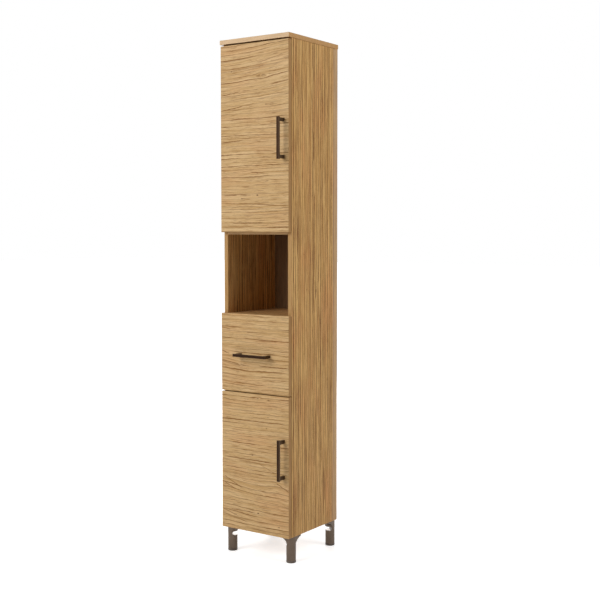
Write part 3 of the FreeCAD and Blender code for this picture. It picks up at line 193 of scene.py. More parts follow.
# ---- oak ---------------------------------------------------------------------------------------

# Which object axes a board's grain runs along, crosses, and goes into.
LEVEL_FRONT = (0, 2, 1)
UPRIGHT_SIDE = (2, 1, 0)
UPRIGHT_BACK = (2, 0, 1)
FLAT_ACROSS = (0, 1, 2)
DRAWER_SIDE = (1, 2, 0)

# How fine each figure of the grain is: so many to a metre, along and across the grain.
SLOW_WAVES = (2.2, 3.0)
MIDDLING_WAVES = (13.0, 26.0)
RIPPLES = (55.0, 190.0)
FIBRES = (15.0, 380.0)
PORES = (70.0, 1300.0)
CLOUDS = (4.0, 13.0)
TONE_BANDS = (2.4, 75.0)
STREAKS = (1.4, 120.0)
FLECKS_ACROSS = 340.0

# How far the waves push the grain, as shares of the oak's sway or of its rings' width.
SLOW_PUSH = 2.2
MIDDLING_PUSH = 0.55
RIPPLE_PUSH = 0.22

# Rings: how their width changes, where through a ring its dark line comes and goes, how faint the
# faintest line is, how the lines fade on their way, and the finer rings between the wide ones.
CROWDING_PER_RING = 0.15
CROWDING = 3.2
LINE_COMES = (0.72, 0.85)
LINE_GOES = (1.0, 0.95)
LINE_UNEVENNESS = 1.4
FAINTEST_LINE = 0.2
LINE_FADES = (9.0, 3.7)
FADE_LIMITS = (0.36, 0.58)
FADED_LINE = 0.12
FINE_RING = 0.37
FINE_RING_TONE = 0.6

# From which value of its noise, or place in its ring, each figure starts to show, and is full.
TONE_LIMITS = (0.3, 0.72)
CLOUD_LIMITS = (0.45, 0.7)
STREAK_LIMITS = (0.5, 0.72)
DARK_FLECK_LIMITS = (0.55, 0.68)
PALE_FLECK_LIMITS = (0.46, 0.33)
PORE_LIMITS = (0.58, 0.68)
PORES_IN_RING = (0.9, 0.1)
RING_START = (0.03, 0.24)
STRAND_LIMITS = (0.3, 0.7)

# How strongly each figure shows.
FIBRE_TONE = 0.9
CLOUD_TONE = 0.5
RING_SHADE = 0.16
RING_START_TONE = 0.4
FLECK_TONE = 0.5
PORE_TONE = 0.45
FEWEST_PORES = 0.25

# A knot: how long and wide its push is for its size, how hard it pushes, and its dark heart.
KNOT_LENGTH = 3.2
KNOT_WIDTH = 1.5
KNOT_PUSH = 0.9
KNOT_SHOULDER = 2.2
HEART_RAGGEDNESS = 0.12
HEART_EDGE = (0.02, 0.15)
HEART_COLOUR = tint(84, 50, 24)

# A long line: how far beside its course it starts to fade and is gone, and the same for its ends,
# as shares of its length from its middle.
STROKE_EDGE = (0.5 * MM, 1.9 * MM)
STROKE_ENDS = (0.3, 0.5)

# The surface: how deep its texture is and how strongly that shows, how much fibres stand out and
# pores and lines sink in, and how it shines.
OAK_RELIEF = 0.25 * MM
OAK_RELIEF_STRENGTH = 0.6
FIBRE_RELIEF = 0.35
PORE_RELIEF = -0.5
LINE_RELIEF = -0.5
OAK_GLOSS_LIMITS = (0.2, 1.4)
OAK_ROUGHNESS = (0.5, 0.68)
OAK_SHINE = 0.2

# The band on a board's edges: how deep it starts and is full, and how fine its strands are.
BAND_START = 0.55 * MM
BAND_FULL = 0.4 * MM
BAND_STRANDS_ALONG = 16.0
BAND_STRANDS_ACROSS = 420.0


class Oak:
    """One kind of oak: its tones, those of its edge band, and its figure.

    ring is the width of a growth ring, sway how far the grain wanders and fleck how long a fleck
    is, all in metres. line and streak are how strongly dark lines and broad dark streaks show.
    """

    def __init__(self, base, light, warm, dark, band, ring, sway, fleck=0.055, line=1.0, streak=0.0):
        self.base, self.light, self.warm, self.dark, self.band = base, light, warm, dark, band
        self.ring = ring
        self.sway = sway
        self.fleck = fleck
        self.line = line
        self.streak = streak


# FRONT_OAK's tones are paler and greyer than SIDE_OAK's. That difference is painted sheen: the whitish
# shine on the fronts is painted into their colour.
# The fronts' edge band tones are darker than their faces and than the sides' band. This is painted shade:
# the dark line of shade along the doors' edges is painted into the band.
FRONT_OAK = Oak(tint(197, 158, 103), tint(222, 188, 138), tint(211, 162, 112), tint(114, 68, 22),
                (tint(174, 134, 84), tint(154, 113, 66)), ring=0.0135, sway=0.010)
SIDE_OAK = Oak(tint(187, 139, 77), tint(228, 184, 117), tint(203, 134, 80), tint(92, 50, 14),
               (tint(190, 150, 98), tint(172, 130, 78)), ring=0.0125, sway=0.003, fleck=0.16, line=1.35,
               streak=0.8)
SHELF_OAK = Oak(tint(178, 134, 82), tint(204, 162, 110), tint(190, 140, 92), tint(112, 72, 32),
                (tint(204, 166, 118), tint(186, 146, 100)), ring=0.014, sway=0.008)
# The back panel's oak is far darker than the rest. This is painted shade: the deep shadow at the back of
# the niche is painted into its colour.
SHADED_BACK_OAK = Oak(tint(118, 88, 60), tint(134, 102, 70), tint(124, 90, 60), tint(74, 52, 32),
                 (tint(120, 88, 60), tint(106, 76, 50)), ring=0.016, sway=0.006, line=0.5)
BEECH = Oak(tint(205, 172, 122), tint(216, 186, 140), tint(208, 170, 126), tint(170, 132, 84),
            (tint(205, 172, 122), tint(196, 162, 112)), ring=0.002, sway=0.001, line=0.5)


def patches(mix, along, across, fineness, deep, detail=2.0, roughness=0.5):
    """Soft noise, about 0 to 1, in patches that are stretched along the grain."""
    return mix.noise(mix.join(along * fineness[0], across * fineness[1], deep), 1.0, detail, roughness)


def wander(mix, kind, along, across, seed):
    """How the grain wanders: its ripples, the course that long lines keep to, and the rings' level."""
    slow = patches(mix, along, across, SLOW_WAVES, seed, detail=1.0)
    middling = patches(mix, along, across, MIDDLING_WAVES, seed)
    ripple = patches(mix, along, across, RIPPLES, seed) - 0.5
    course = across + (middling - 0.5) * (kind.sway * MIDDLING_PUSH) + ripple * (kind.ring * RIPPLE_PUSH)
    return ripple, course, course + (slow - 0.5) * (kind.sway * SLOW_PUSH)


def fall(far):
    """1 at a place, falling softly to 0 as the squared distance from it grows."""
    return (far * -1.0).step("EXPONENT")


def swell(along, across, spot):
    """A soft push of the rings round one place: place, reach and size of the push."""
    at_along, at_across, reach_along, reach_across, push = spot
    off_along = (along - at_along) / reach_along
    off_across = (across - at_across) / reach_across
    return fall(off_along * off_along + off_across * off_across) * push


def knot(along, across, ripple, spot):
    """How far one knot pushes the rings aside, and its dark heart."""
    at_along, at_across, size, dark = spot
    off_along = (along - at_along) / (size * KNOT_LENGTH)
    off_across = (across - at_across) / (size * KNOT_WIDTH)
    far = off_along * off_along + off_across * off_across
    aside = (off_across * KNOT_SHOULDER).step("TANH") * (size * -KNOT_PUSH)
    heart = (ripple * HEART_RAGGEDNESS + far).span(*HEART_EDGE, dark, 0.0)
    return fall(far) * aside, heart


def stroke(along, course, ends):
    """One long dark line of the grain, from its first end to its second."""
    from_along, from_across, to_along, to_across, strength = ends
    way = (along - from_along) / (to_along - from_along)
    off = abs(course - (way * (to_across - from_across) + from_across))
    return off.span(*STROKE_EDGE, strength, 0.0) * abs(way - 0.5).span(*STROKE_ENDS, 1.0, 0.0)


def rings(mix, level, along, width, seed):
    """Growth rings: their dark edges, and how far each place is through its ring."""
    crowding = mix.noise(mix.join(0.0, level * (CROWDING_PER_RING / width), seed + 5.0), 1.0, detail=1.0)
    count = (crowding - 0.5) * CROWDING + level / width
    part = count.step("FRACT")
    which = count.step("FLOOR")
    weight = mix.dice(which + seed).step("POWER", LINE_UNEVENNESS)
    fade = patches(mix, along, which, LINE_FADES, seed)
    line = part.span(*LINE_COMES) * part.span(*LINE_GOES)
    line *= weight.span(0.0, 1.0, FAINTEST_LINE, 1.0, smooth=False)
    return line * fade.span(*FADE_LIMITS, FADED_LINE, 1.0), part


def ground(mix, kind, along, level, fibre, part, seed):
    """The wood between its dark lines: tone bands, warm clouds, streaks, shaded rings and flecks."""
    tone = patches(mix, along, level, TONE_BANDS, seed + 3.0, roughness=0.6) + (fibre - 0.5) * FIBRE_TONE
    colour = mix.blend(tone.span(*TONE_LIMITS), kind.base, kind.light)
    cloud = patches(mix, along, level, CLOUDS, seed + 2.0)
    colour = mix.blend(cloud.span(*CLOUD_LIMITS, 0.0, CLOUD_TONE), colour, kind.warm)
    if kind.streak:
        streak = patches(mix, along, level, STREAKS, seed + 4.0, roughness=0.7)
        colour = mix.blend(streak.span(*STREAK_LIMITS, 0.0, kind.streak), colour, kind.dark)
    colour = mix.blend(part * part * (RING_SHADE * kind.line), colour, kind.dark)
    fleck = patches(mix, along, level, (1 / kind.fleck, FLECKS_ACROSS), seed + 6.0, roughness=0.55)
    colour = mix.blend(fleck.span(*DARK_FLECK_LIMITS, 0.0, FLECK_TONE * kind.line), colour, kind.dark)
    colour = mix.blend(fleck.span(*PALE_FLECK_LIMITS, 0.0, FLECK_TONE), colour, kind.light)
    return mix.blend(part.span(*RING_START, RING_START_TONE * kind.line, 0.0), colour, kind.light)


def banded_edges(node, axes, parts):
    """Where a board's edges are banded: the outermost hair's breadth across its two long ways."""
    low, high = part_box(node)
    edges = []
    for axis in axes[:2]:
        middle = (low[axis] + high[axis]) / 2
        reach = (high[axis] - low[axis]) / 2
        edges.append(abs(parts[axis] - middle).span(reach - BAND_START, reach - BAND_FULL))
    return edges[0].larger(edges[1])


def edge_band(mix, kind, axes, parts):
    """The colour of the band on a board's edges, with strands that run along them."""
    # On the fronts the band's dark tones are painted shade, the dark line along the doors' edges.
    stretched = mix.join(*(value * (BAND_STRANDS_ACROSS if axis == axes[2] else BAND_STRANDS_ALONG)
                           for axis, value in enumerate(parts)))
    strands = mix.noise(stretched, 1.0, detail=3.0)
    return mix.blend(strands.span(*STRAND_LIMITS), *kind.band)


def oak(node, kind, axes, seed, swells=(), knots=(), strokes=(), banded=True, last=None):
    """Dress one board in oak: wandering growth rings, pores, fibres, knots and banded edges.

    Places of swells, knots and strokes are along and across the grain, in the cabinet's own frame.
    Each figure adds a number of its own to the seed, so that no two figures look alike.
    """
    mix = Recipe(f"{node}_oak")
    parts = mix.split()
    along, across, deep = (parts[axis] for axis in axes)
    ripple, course, level = wander(mix, kind, along, across, seed)
    for spot in swells:
        level += swell(along, across, spot)
    hearts = []
    for spot in knots:
        push, heart = knot(along, across, ripple, spot)
        level += push
        hearts.append(heart)

    # Wide rings, finer rings between them, and the few long lines that stand out.
    line, part = rings(mix, level, along, kind.ring, seed)
    fine, _ = rings(mix, level, along, kind.ring * FINE_RING, seed + 9.0)
    line += fine * FINE_RING_TONE
    for ends in strokes:
        line = line.larger(stroke(along, course, ends))
    line = line.step("MULTIPLY", kind.line, clamp=True)

    # Fine fibres, and short dark pores, which show most where a ring starts.
    fibre = patches(mix, along, level, FIBRES, deep * FIBRES[1], detail=3.0, roughness=0.6)
    hair = patches(mix, along, level, PORES, deep * PORES[1], roughness=0.6)
    pore = hair.span(*PORE_LIMITS) * part.span(*PORES_IN_RING, FEWEST_PORES, 1.0)

    colour = ground(mix, kind, along, level, fibre, part, seed)
    colour = mix.blend(line, colour, kind.dark)
    colour = mix.blend(pore * PORE_TONE, colour, kind.dark)
    for heart in hearts:
        colour = mix.blend(heart, colour, HEART_COLOUR)
    if last:
        colour = last(mix, parts, fibre, colour)
    if banded:
        colour = mix.blend(banded_edges(node, axes, parts), colour, edge_band(mix, kind, axes, parts))
    relief = fibre * FIBRE_RELIEF + pore * PORE_RELIEF + line * LINE_RELIEF
    gloss = (fibre + line).span(*OAK_GLOSS_LIMITS, *OAK_ROUGHNESS)
    material = mix.finish(Base_Color=colour, Roughness=gloss, Specular_IOR_Level=OAK_SHINE,
                          Normal=mix.bump(relief, OAK_RELIEF, OAK_RELIEF_STRENGTH))
    dress(material, node)


def mm(*rows):
    """Rows of places in millimetres as metres. A row's last number is a strength and stays."""
    return tuple(tuple(value * MM for value in row[:-1]) + (row[-1],) for row in rows)


def oak_fronts():
    """The doors and the drawer front: level grain, each with its own sweeps, knots and long lines."""
    oak("upper_door_panel", FRONT_OAK, LEVEL_FRONT, 1.0,
        swells=((0.25, 1.75, 0.20, 0.14, -0.032), (-0.02, 1.40, 0.10, 0.03, 0.004)),
        knots=mm((-100, 1755, 3.5, 0.8), (40, 1732, 9, 0.35), (52, 1630, 3.5, 0.6), (14, 1390, 3.5, 0.7),
                 (59, 1362, 5, 0.4), (14, 1312, 5, 0.9), (-55, 1300, 3.5, 0.8)),
        strokes=mm((-152, 1671, -60, 1680, 0.9), (-152, 1649, 160, 1669, 0.55),
                   (-152, 1754, 155, 1773, 0.5), (0, 1772, 160, 1806, 0.5),
                   (70, 1698, 160, 1709, 1.0), (-155, 1615, -40, 1631, 0.9),
                   (-155, 1504, -40, 1508, 0.9), (0, 1469, 100, 1464, 0.7), (-140, 1313, -72, 1313, 0.9),
                   (-66, 1315, -30, 1313, 0.8), (-62, 1301, -14, 1299, 0.8), (-20, 1393, 48, 1389, 0.8),
                   (-155, 1286, 160, 1273, 0.7), (40, 1196, 165, 1198, 1.0), (-155, 1199, 10, 1201, 0.6)))
    oak("drawer_front", FRONT_OAK, LEVEL_FRONT, 4.0,
        swells=((-0.03, 0.655, 0.10, 0.05, 0.007), (-0.16, 0.722, 0.05, 0.03, -0.009),
                (0.05, 0.83, 0.12, 0.04, 0.004)),
        knots=mm((-146, 742, 9, 0.0), (-60, 702, 5, 0.3)),
        strokes=mm((-160, 752, -112, 738, 0.7), (-160, 716, -60, 703, 0.9), (10, 701, 160, 702, 1.0),
                   (-40, 822, 20, 821, 0.8), (-160, 836, -105, 829, 0.7), (20, 790, 90, 794, 0.5),
                   (-160, 668, -20, 656, 0.6), (-100, 636, 60, 632, 0.7), (30, 652, 160, 660, 0.6)))
    oak("lower_door_panel", FRONT_OAK, LEVEL_FRONT, 7.0,
        swells=((-0.16, 0.26, 0.09, 0.04, -0.016), (0.09, 0.28, 0.05, 0.03, -0.008),
                (-0.16, 0.165, 0.10, 0.03, -0.010)),
        knots=mm((14.5, 167.5, 4.5, 1.0), (-10.5, 377, 4, 0.8), (107, 130, 3.5, 0.8), (14, 585, 5, 0.45),
                 (62, 582, 4, 0.45), (59, 520, 4, 0.4), (52, 480, 4, 0.5)),
        strokes=mm((-155, 576, -80, 569, 0.7), (-140, 535, 20, 537, 0.5), (-155, 502, 60, 500, 0.6),
                   (-155, 360, 100, 357, 1.0), (-150, 291, -48, 246, 0.8), (-152, 270, -84, 240, 0.8),
                   (90, 289, 158, 260, 0.9), (12, 350, 97, 320, 0.5), (-122, 167, 10, 167, 0.9),
                   (-155, 166, -70, 144, 0.7), (-155, 150, -30, 128, 0.6), (-60, 112, 100, 106, 0.5)))


# The strip along the right side's rear edge: where it starts and is full, front to back, how
# ragged its start is, and how strongly it shows.
STRIP_LIMITS = (137 * MM, 156 * MM)
STRIP_RAGGEDNESS = 3 * MM
STRIP_TONE = 0.5
STRIP_COLOUR = tint(196, 166, 134)

# The thin line in front of the strip: its place, its edge, how strongly it shows, and its breaks:
# so many to a metre, where they start and end, and how much still shows in them.
SEAM = 136 * MM
SEAM_EDGE = (0.5 * MM, 2 * MM)
SEAM_TONE = 0.55
SEAM_BREAKS = 60.0
BREAK_LIMITS = (0.4, 0.6)
BREAK_TONE = 0.3


def rear_strip(mix, parts, fibre, colour):
    """The side panel's paler, greyer strip along its rear edge, behind a thin broken line."""
    _, back, height = parts
    ragged = back + (fibre - 0.5) * STRIP_RAGGEDNESS
    colour = mix.blend(ragged.span(*STRIP_LIMITS, 0.0, STRIP_TONE), colour, STRIP_COLOUR)
    seam = abs(back - SEAM).span(*SEAM_EDGE, SEAM_TONE, 0.0)
    breaks = mix.noise(mix.join(0.0, 0.0, height * SEAM_BREAKS), 1.0)
    return mix.blend(seam * breaks.span(*BREAK_LIMITS, BREAK_TONE, 1.0), colour, SIDE_OAK.dark)


# The top panel's edges: the tones of its sides and its front, how many strands its sides have to a
# metre, backwards and upwards, and how deep the front's band is full and ends.
TOP_SIDE_TONES = (tint(202, 158, 104), tint(178, 133, 82))
TOP_FRONT_TONES = (tint(226, 194, 156), tint(210, 177, 137))
TOP_SIDE_STRANDS = (260.0, 8.0)
TOP_FRONT_BAND = (0.8 * MM, 1.2 * MM)


def top_edges(mix, parts, fibre, colour):
    """The top panel's side edges match the sides, and its front edge is banded in a paler oak."""
    aside, back, height = parts
    sides = abs(aside).span(TOP_HIGH.x - BAND_START, TOP_HIGH.x - BAND_FULL)
    stretched = mix.join(0.0, back * TOP_SIDE_STRANDS[0], height * TOP_SIDE_STRANDS[1])
    strands = mix.noise(stretched, 1.0, detail=3.0, roughness=0.6)
    colour = mix.blend(sides, colour, mix.blend(strands.span(*STRAND_LIMITS), *TOP_SIDE_TONES))
    front = back.span(*(TOP_LOW.y + depth for depth in TOP_FRONT_BAND), 1.0, 0.0)
    return mix.blend(front, colour, mix.blend(fibre.span(*STRAND_LIMITS), *TOP_FRONT_TONES))


def oak_case():
    """The carcass and its shelves: upright grain on the sides, level grain on the boards."""
    oak("right_side_panel", SIDE_OAK, UPRIGHT_SIDE, 2.0, last=rear_strip,
        swells=((0.97, 0.03, 0.06, 0.02, 0.006), (1.75, -0.05, 0.12, 0.03, 0.004)),
        knots=mm((968, 34, 7, 0.5), (1102, -45, 2.5, 0.9), (975, -27, 2.5, 0.9), (745, -45, 2.5, 0.9)),
        strokes=mm((1546, 16, 1428, 17, 1.0), (1860, -98, 1700, -97, 0.7), (1330, 22, 1180, 20, 0.8),
                   (1250, -84, 1080, -85, 0.9), (900, 58, 640, 61, 0.9), (1010, 26, 930, 30, 0.9),
                   (700, -70, 480, -68, 0.8), (560, 30, 300, 27, 0.8), (420, -30, 200, -32, 0.9),
                   (330, 88, 110, 86, 0.8), (1700, 70, 1560, 73, 0.7)))
    oak("left_side_panel", SIDE_OAK, UPRIGHT_SIDE, 6.0)
    oak("top_panel", SHELF_OAK, FLAT_ACROSS, 3.0, last=top_edges, banded=False)
    boards = ("bottom_panel", "drawer_divider", "niche_floor_panel", "niche_top_panel",
              "upper_shelf_1", "upper_shelf_2", "lower_shelf")
    for number, name in enumerate(boards):
        oak(name, SHELF_OAK, FLAT_ACROSS, 10.0 + number)
    # The back panel's dark tones are painted shade.
    oak("back_panel", SHADED_BACK_OAK, UPRIGHT_BACK, 20.0, banded=False)
    for number, name in enumerate(("drawer_left_side", "drawer_right_side")):
        oak(name, SHELF_OAK, DRAWER_SIDE, 22.0 + number)
    oak("drawer_back", SHELF_OAK, LEVEL_FRONT, 24.0)
    oak("drawer_bottom", SHELF_OAK, FLAT_ACROSS, 26.0, banded=False)
    oak("carcass_dowels", BEECH, LEVEL_FRONT, 28.0, banded=False)


# ---- metal, plastic and rubber -----------------------------------------------------------------

# Metal: how fine its grain and smudges are, so many to a metre, the values of the two together
# between which its tone and its gloss change, how its roughness changes, and its relief.
METAL_GRAIN = 900.0
METAL_SMUDGES = 38.0
METAL_TONE_LIMITS = (0.7, 1.3)
METAL_GLOSS_LIMITS = (0.6, 1.4)
METAL_SMOOTHER = 0.07
METAL_ROUGHER = 0.09
METAL_RELIEF = 0.02 * MM
METAL_RELIEF_STRENGTH = 0.5

# Plastic: the same for its texture and its clouds.
PLASTIC_TEXTURE = 2200.0
PLASTIC_CLOUDS = 30.0
PLASTIC_TONE_LIMITS = (0.35, 0.65)
PLASTIC_GLOSS_LIMITS = (0.7, 1.3)
PLASTIC_UNEVENNESS = 0.06
PLASTIC_RELIEF = 0.03 * MM
PLASTIC_RELIEF_STRENGTH = 0.4

# How sharp a corner has to be before it starts to turn paler, and before it is fully pale.
PALE_CORNER = (0.53, 0.60)
PALE_CORNER_RAGGEDNESS = 0.05
PALE_CORNER_BRONZE = tint(176, 146, 110)


def metal(name, base, light, roughness, grain_axes=(1.0, 1.0, 1.0), pale_corners=0.0, metallic=1.0):
    """Plated or painted metal with a faint grain, smudges and paler sharp corners."""
    mix = Recipe(name)
    stretched = mix.join(*(part * factor for part, factor in zip(mix.split(), grain_axes)))
    grain = mix.noise(stretched, METAL_GRAIN, detail=3.0, roughness=0.6)
    smudge = mix.noise(mix.place, METAL_SMUDGES, detail=3.0, roughness=0.6)
    colour = mix.blend((grain + smudge).span(*METAL_TONE_LIMITS), base, light)
    if pale_corners:
        pointed = mix.nodes.new("ShaderNodeNewGeometry").outputs["Pointiness"]
        corner = ((smudge - 0.5) * PALE_CORNER_RAGGEDNESS + pointed).span(*PALE_CORNER, 0.0, pale_corners)
        colour = mix.blend(corner, colour, PALE_CORNER_BRONZE)
    gloss = (grain + smudge).span(*METAL_GLOSS_LIMITS, roughness - METAL_SMOOTHER,
                                  roughness + METAL_ROUGHER)
    return mix.finish(Base_Color=colour, Metallic=metallic, Roughness=gloss,
                      Normal=mix.bump(grain, METAL_RELIEF, METAL_RELIEF_STRENGTH))


def plastic(name, base, light, roughness, **values):
    """Moulded plastic with a fine even texture."""
    mix = Recipe(name)
    texture = mix.noise(mix.place, PLASTIC_TEXTURE)
    cloud = mix.noise(mix.place, PLASTIC_CLOUDS, detail=3.0)
    colour = mix.blend(cloud.span(*PLASTIC_TONE_LIMITS), base, light)
    gloss = (texture + cloud).span(*PLASTIC_GLOSS_LIMITS, roughness - PLASTIC_UNEVENNESS,
                                   roughness + PLASTIC_UNEVENNESS)
    return mix.finish(Base_Color=colour, Roughness=gloss,
                      Normal=mix.bump(texture, PLASTIC_RELIEF, PLASTIC_RELIEF_STRENGTH), **values)


def fittings():
    """Handles, legs, feet, hinges, runners, screws and bumpers."""
    dress(metal("dark_bronze", tint(34, 19, 8), tint(45, 27, 13), 0.42, pale_corners=0.1, metallic=0.9),
          "upper_handle", "lower_handle", "drawer_handle")
    dress(metal("leg_bronze_grey", tint(86, 73, 62), tint(99, 85, 73), 0.33, (1, 1, 0.2), metallic=0.75),
          "leg_front_left", "leg_front_right", "leg_back_left", "leg_back_right")
    dress(plastic("foot_plastic", tint(84, 72, 62), tint(96, 84, 73), 0.5),
          "foot_front_left", "foot_front_right", "foot_back_left", "foot_back_right")
    dress(metal("nickel", tint(176, 174, 170), tint(198, 196, 192), 0.28, (1, 0.1, 1)),
          "hinge_plates", "hinge_arms", "upper_hinge_links", "lower_hinge_links",
          "upper_hinge_cups", "lower_hinge_cups", "wall_brackets")
    dress(metal("runner_zinc", tint(168, 170, 172), tint(190, 192, 194), 0.34, (1, 0.03, 1)),
          "runner_outer_members", "runner_middle_members", "runner_inner_members")
    dress(metal("screw_zinc", tint(170, 170, 168), tint(196, 196, 194), 0.3),
          "shelf_pins", "cam_bolts", "cam_locks", "back_panel_nails", "wall_bracket_screws", "leg_screws",
          "hinge_plate_screws", "upper_cup_screws", "lower_cup_screws", "upper_handle_screws",
          "lower_handle_screws", "drawer_handle_screws", "drawer_back_screws", "drawer_cam_bolts",
          "drawer_cams", "runner_outer_screws", "runner_inner_screws")
    dress(plastic("clear_bumper", tint(232, 234, 234), tint(240, 242, 242), 0.22,
                  Transmission_Weight=0.75, IOR=1.45), "upper_bumpers", "lower_bumpers")


# ---- hinge screws ------------------------------------------------------------------------------

HEAD_RADIUS = 3.2 * MM
HEAD_HEIGHT = 1.3 * MM
HEAD_ROUNDING = 0.5 * MM
HEAD_SIDES = 24
ROUNDING_STEPS = 3
CROSS_REACH = 2.0 * MM
CROSS_HALF = 0.45 * MM
CROSS_DEPTH = 0.9 * MM
HINGE_FROM_DOOR_END = 95 * MM
SCREWS_BEHIND_FRONT = (15 * MM, 50 * MM)

# How many radians a cross is turned for each metre behind the front, how near a cut counts as on a
# point, and how steeply a level face's normal stands.
CROSS_TURN = 40.0
CUT_DISTANCE = 1e-7
LEVEL = 0.99


def level_faces(head):
    """The faces that look straight up."""
    head.normal_update()
    return [face for face in head.faces if face.normal.z > LEVEL]


def cross_head():
    """A screw's flat round head with a cross recess: its seat at the origin, its top towards +Z."""
    head = bmesh.new()
    bmesh.ops.create_cone(head, cap_ends=True, segments=HEAD_SIDES, radius1=HEAD_RADIUS,
                          radius2=HEAD_RADIUS, depth=HEAD_HEIGHT)
    bmesh.ops.translate(head, verts=head.verts, vec=(0.0, 0.0, HEAD_HEIGHT / 2))
    rim = [edge for edge in head.edges if min(vert.co.z for vert in edge.verts) > HEAD_HEIGHT / 2]
    bmesh.ops.bevel(head, geom=rim, offset=HEAD_ROUNDING, segments=ROUNDING_STEPS, profile=0.5,
                    affect="EDGES", material=-1)
    for across in (Vector((1.0, 0.0, 0.0)), Vector((0.0, 1.0, 0.0))):
        for off in (-CROSS_REACH, -CROSS_HALF, CROSS_HALF, CROSS_REACH):
            top = level_faces(head)
            corners = {vert for face in top for vert in face.verts}
            edges = {edge for face in top for edge in face.edges}
            bmesh.ops.bisect_plane(head, geom=[*corners, *edges, *top], dist=CUT_DISTANCE,
                                   plane_co=across * off, plane_no=across)
    recess = []
    for face in level_faces(head):
        near, far = sorted(abs(part) for part in face.calc_center_median().xy)
        if near < CROSS_HALF and far < CROSS_REACH:
            recess.append(face)
    sunk = bmesh.ops.extrude_face_region(head, geom=recess)["geom"]
    bmesh.ops.delete(head, geom=recess, context="FACES")
    bmesh.ops.translate(head, verts=[item for item in sunk if isinstance(item, bmesh.types.BMVert)],
                        vec=(0.0, 0.0, -CROSS_DEPTH))
    return head


def hinge_adjusting_screws():
    """Two screws on each hinge arm, which set the door's gap and its depth."""
    head = cross_head()
    one = bpy.data.meshes.new("one_head")
    head.to_mesh(one)
    head.free()
    arm_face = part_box("hinge_arms")[1].x
    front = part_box("left_side_panel")[0].y
    lie_on_arm = Matrix.Rotation(math.radians(90.0), 4, "Y")
    kit = bmesh.new()
    for door in ("upper_door_panel", "lower_door_panel"):
        low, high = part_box(door)
        for height in (low.z + HINGE_FROM_DOOR_END, high.z - HINGE_FROM_DOOR_END):
            for behind in SCREWS_BEHIND_FRONT:
                # Each cross is turned its own way, as screws set by hand are.
                turn = lie_on_arm @ Matrix.Rotation(height + behind * CROSS_TURN, 4, "Z")
                placed = one.copy()
                placed.transform(Matrix.Translation((arm_face, front + behind, height)) @ turn)
                kit.from_mesh(placed)
                bpy.data.meshes.remove(placed)
    mesh = bpy.data.meshes.new("hinge_adjusting_screws")
    kit.to_mesh(mesh)
    kit.free()
    bpy.data.meshes.remove(one)
    mesh.materials.append(bpy.data.materials["screw_zinc"])
    piece = bpy.data.objects.new("hinge_adjusting_screws", mesh)
    bpy.context.scene.collection.objects.link(piece)
    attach(piece, "carcass")


# ---- studio ------------------------------------------------------------------------------------

WORLD_LEVEL = 0.15
FLOOR_REACH = 30.0
FLOOR_BELOW_FEET = 0.5 * MM
FLOOR_PAINT = (0.9, 0.9, 0.9, 1.0)

# The floor's glow: weaker under the cabinet, where its shadow falls, and full further out.
SHADOW_GLOW = 0.6
SHADOW_REACH = 0.15
FULL_GLOW_REACH = 1.2


def looked_at(tree):
    """1 to the camera, and in mirrors and glass. 0 to the light that falls on the object."""
    path = tree.nodes.new("ShaderNodeLightPath")
    rays = Amount(path.outputs["Is Camera Ray"])
    for name in ("Is Glossy Ray", "Is Transmission Ray"):
        rays = rays.larger(path.outputs[name])
    return rays


def floor():
    """A pale floor. Where it is looked at it glows as well, so that it meets the white backdrop."""
    mesh = bpy.data.meshes.new("studio_floor")
    sheet = bmesh.new()
    bmesh.ops.create_grid(sheet, x_segments=1, y_segments=1, size=FLOOR_REACH)
    sheet.to_mesh(mesh)
    sheet.free()
    plane = bpy.data.objects.new("studio_floor", mesh)
    bpy.context.scene.collection.objects.link(plane)
    plane.location.z = -FLOOR_BELOW_FEET
    mix = Recipe("floor_paint")
    x, y, _ = mix.split()
    away = (x * x + y * y).step("SQRT")
    glow = looked_at(mix.material.node_tree) * away.span(SHADOW_REACH, FULL_GLOW_REACH, SHADOW_GLOW, 1.0)
    mesh.materials.append(mix.finish(Base_Color=FLOOR_PAINT, Roughness=0.9, Specular_IOR_Level=0.1,
                                     Emission_Color=WHITE, Emission_Strength=glow))


def backdrop():
    """A plain backdrop: white where it is looked at, and a soft grey light on the object."""
    studio = bpy.data.worlds.new("studio")
    studio.use_nodes = True
    tree = studio.node_tree
    tree.nodes.clear()
    choose = tree.nodes.new("ShaderNodeMixShader")
    feed(choose.inputs["Fac"], looked_at(tree))
    for socket, strength in ((choose.inputs[1], WORLD_LEVEL), (choose.inputs[2], 1.0)):
        light = tree.nodes.new("ShaderNodeBackground")
        feed(light.inputs["Color"], WHITE)
        feed(light.inputs["Strength"], strength)
        feed(socket, light.outputs[0])
    feed(tree.nodes.new("ShaderNodeOutputWorld").inputs["Surface"], choose.outputs[0])
    bpy.context.scene.world = studio


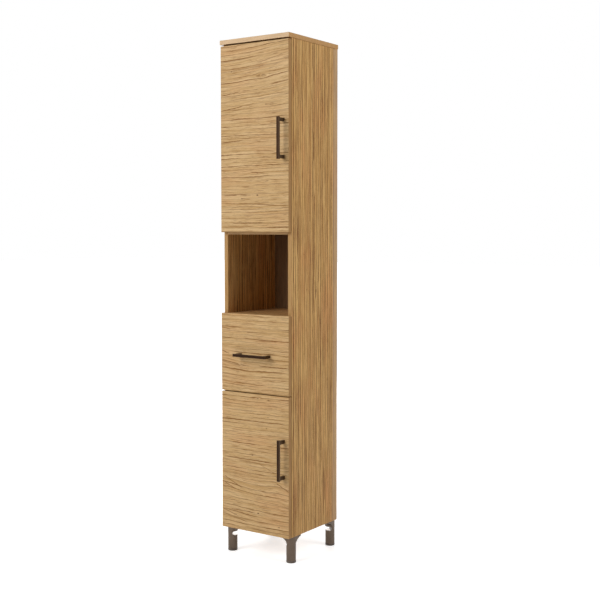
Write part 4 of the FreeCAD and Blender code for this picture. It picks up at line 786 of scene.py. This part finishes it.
# The lamps: where each stands, what it faces, its side in metres and its power in watts.
LAMPS = {
    "key": ((-1.3, -3.6, 2.8), (0.0, DOOR_LOW.y, 1.0), 2.6, 112.0),
    "fill": ((3.3, 0.35, 2.9), (DOOR_HIGH.x, 0.0, 1.0), 2.4, 67.0),
    "back": ((-2.4, 3.4, 2.0), (0.0, TOP_HIGH.y, 1.0), 2.4, 85.0),
}


def lamps():
    """Square soft boxes: a key from the front left, a fill from the right, and one on the back."""
    for name, (place, aim, side, power) in LAMPS.items():
        data = bpy.data.lights.new(name, "AREA")
        data.shape = "SQUARE"
        data.size = side
        data.energy = power
        light = bpy.data.objects.new(name, data)
        bpy.context.scene.collection.objects.link(light)
        light.location = place
        light.rotation_mode = "QUATERNION"
        light.rotation_quaternion = (Vector(aim) - Vector(place)).to_track_quat("-Z", "Y")


# The camera: in front and to the right of the near edge, tilted down a little, with the picture
# shifted down for the rest. Its place is measured from the top of the near edge.
CAMERA_TURN = math.radians(34.506)
CAMERA_TILT = math.radians(3.234)
CAMERA_BACK = 3.6742
CAMERA_ASIDE = -0.0394
CAMERA_DROP = 0.6832
LENS = 63.211
FILM_WIDTH = 36.0
PICTURE_SHIFT = -10 / 600
NEAREST_SEEN = 0.05
FURTHEST_SEEN = 100.0


def camera():
    """The photograph's view of the cabinet."""
    data = bpy.data.cameras.new("camera")
    data.lens = LENS
    data.sensor_width = FILM_WIDTH
    data.shift_y = PICTURE_SHIFT
    data.clip_start = NEAREST_SEEN
    data.clip_end = FURTHEST_SEEN
    view = bpy.data.objects.new("camera", data)
    bpy.context.scene.collection.objects.link(view)
    ahead = Vector((-math.sin(CAMERA_TURN), math.cos(CAMERA_TURN), 0.0))
    right = Vector((math.cos(CAMERA_TURN), math.sin(CAMERA_TURN), 0.0))
    corner = Vector((DOOR_HIGH.x, DOOR_LOW.y, TOP_HIGH.z - CAMERA_DROP))
    view.location = corner - right * CAMERA_ASIDE - ahead * CAMERA_BACK
    view.rotation_euler = (math.radians(90.0) - CAMERA_TILT, 0.0, CAMERA_TURN)
    bpy.context.scene.camera = view


oak_fronts()
oak_case()
fittings()
hinge_adjusting_screws()
floor()
backdrop()
lamps()
camera()
bpy.context.scene.view_settings.view_transform = "Standard"
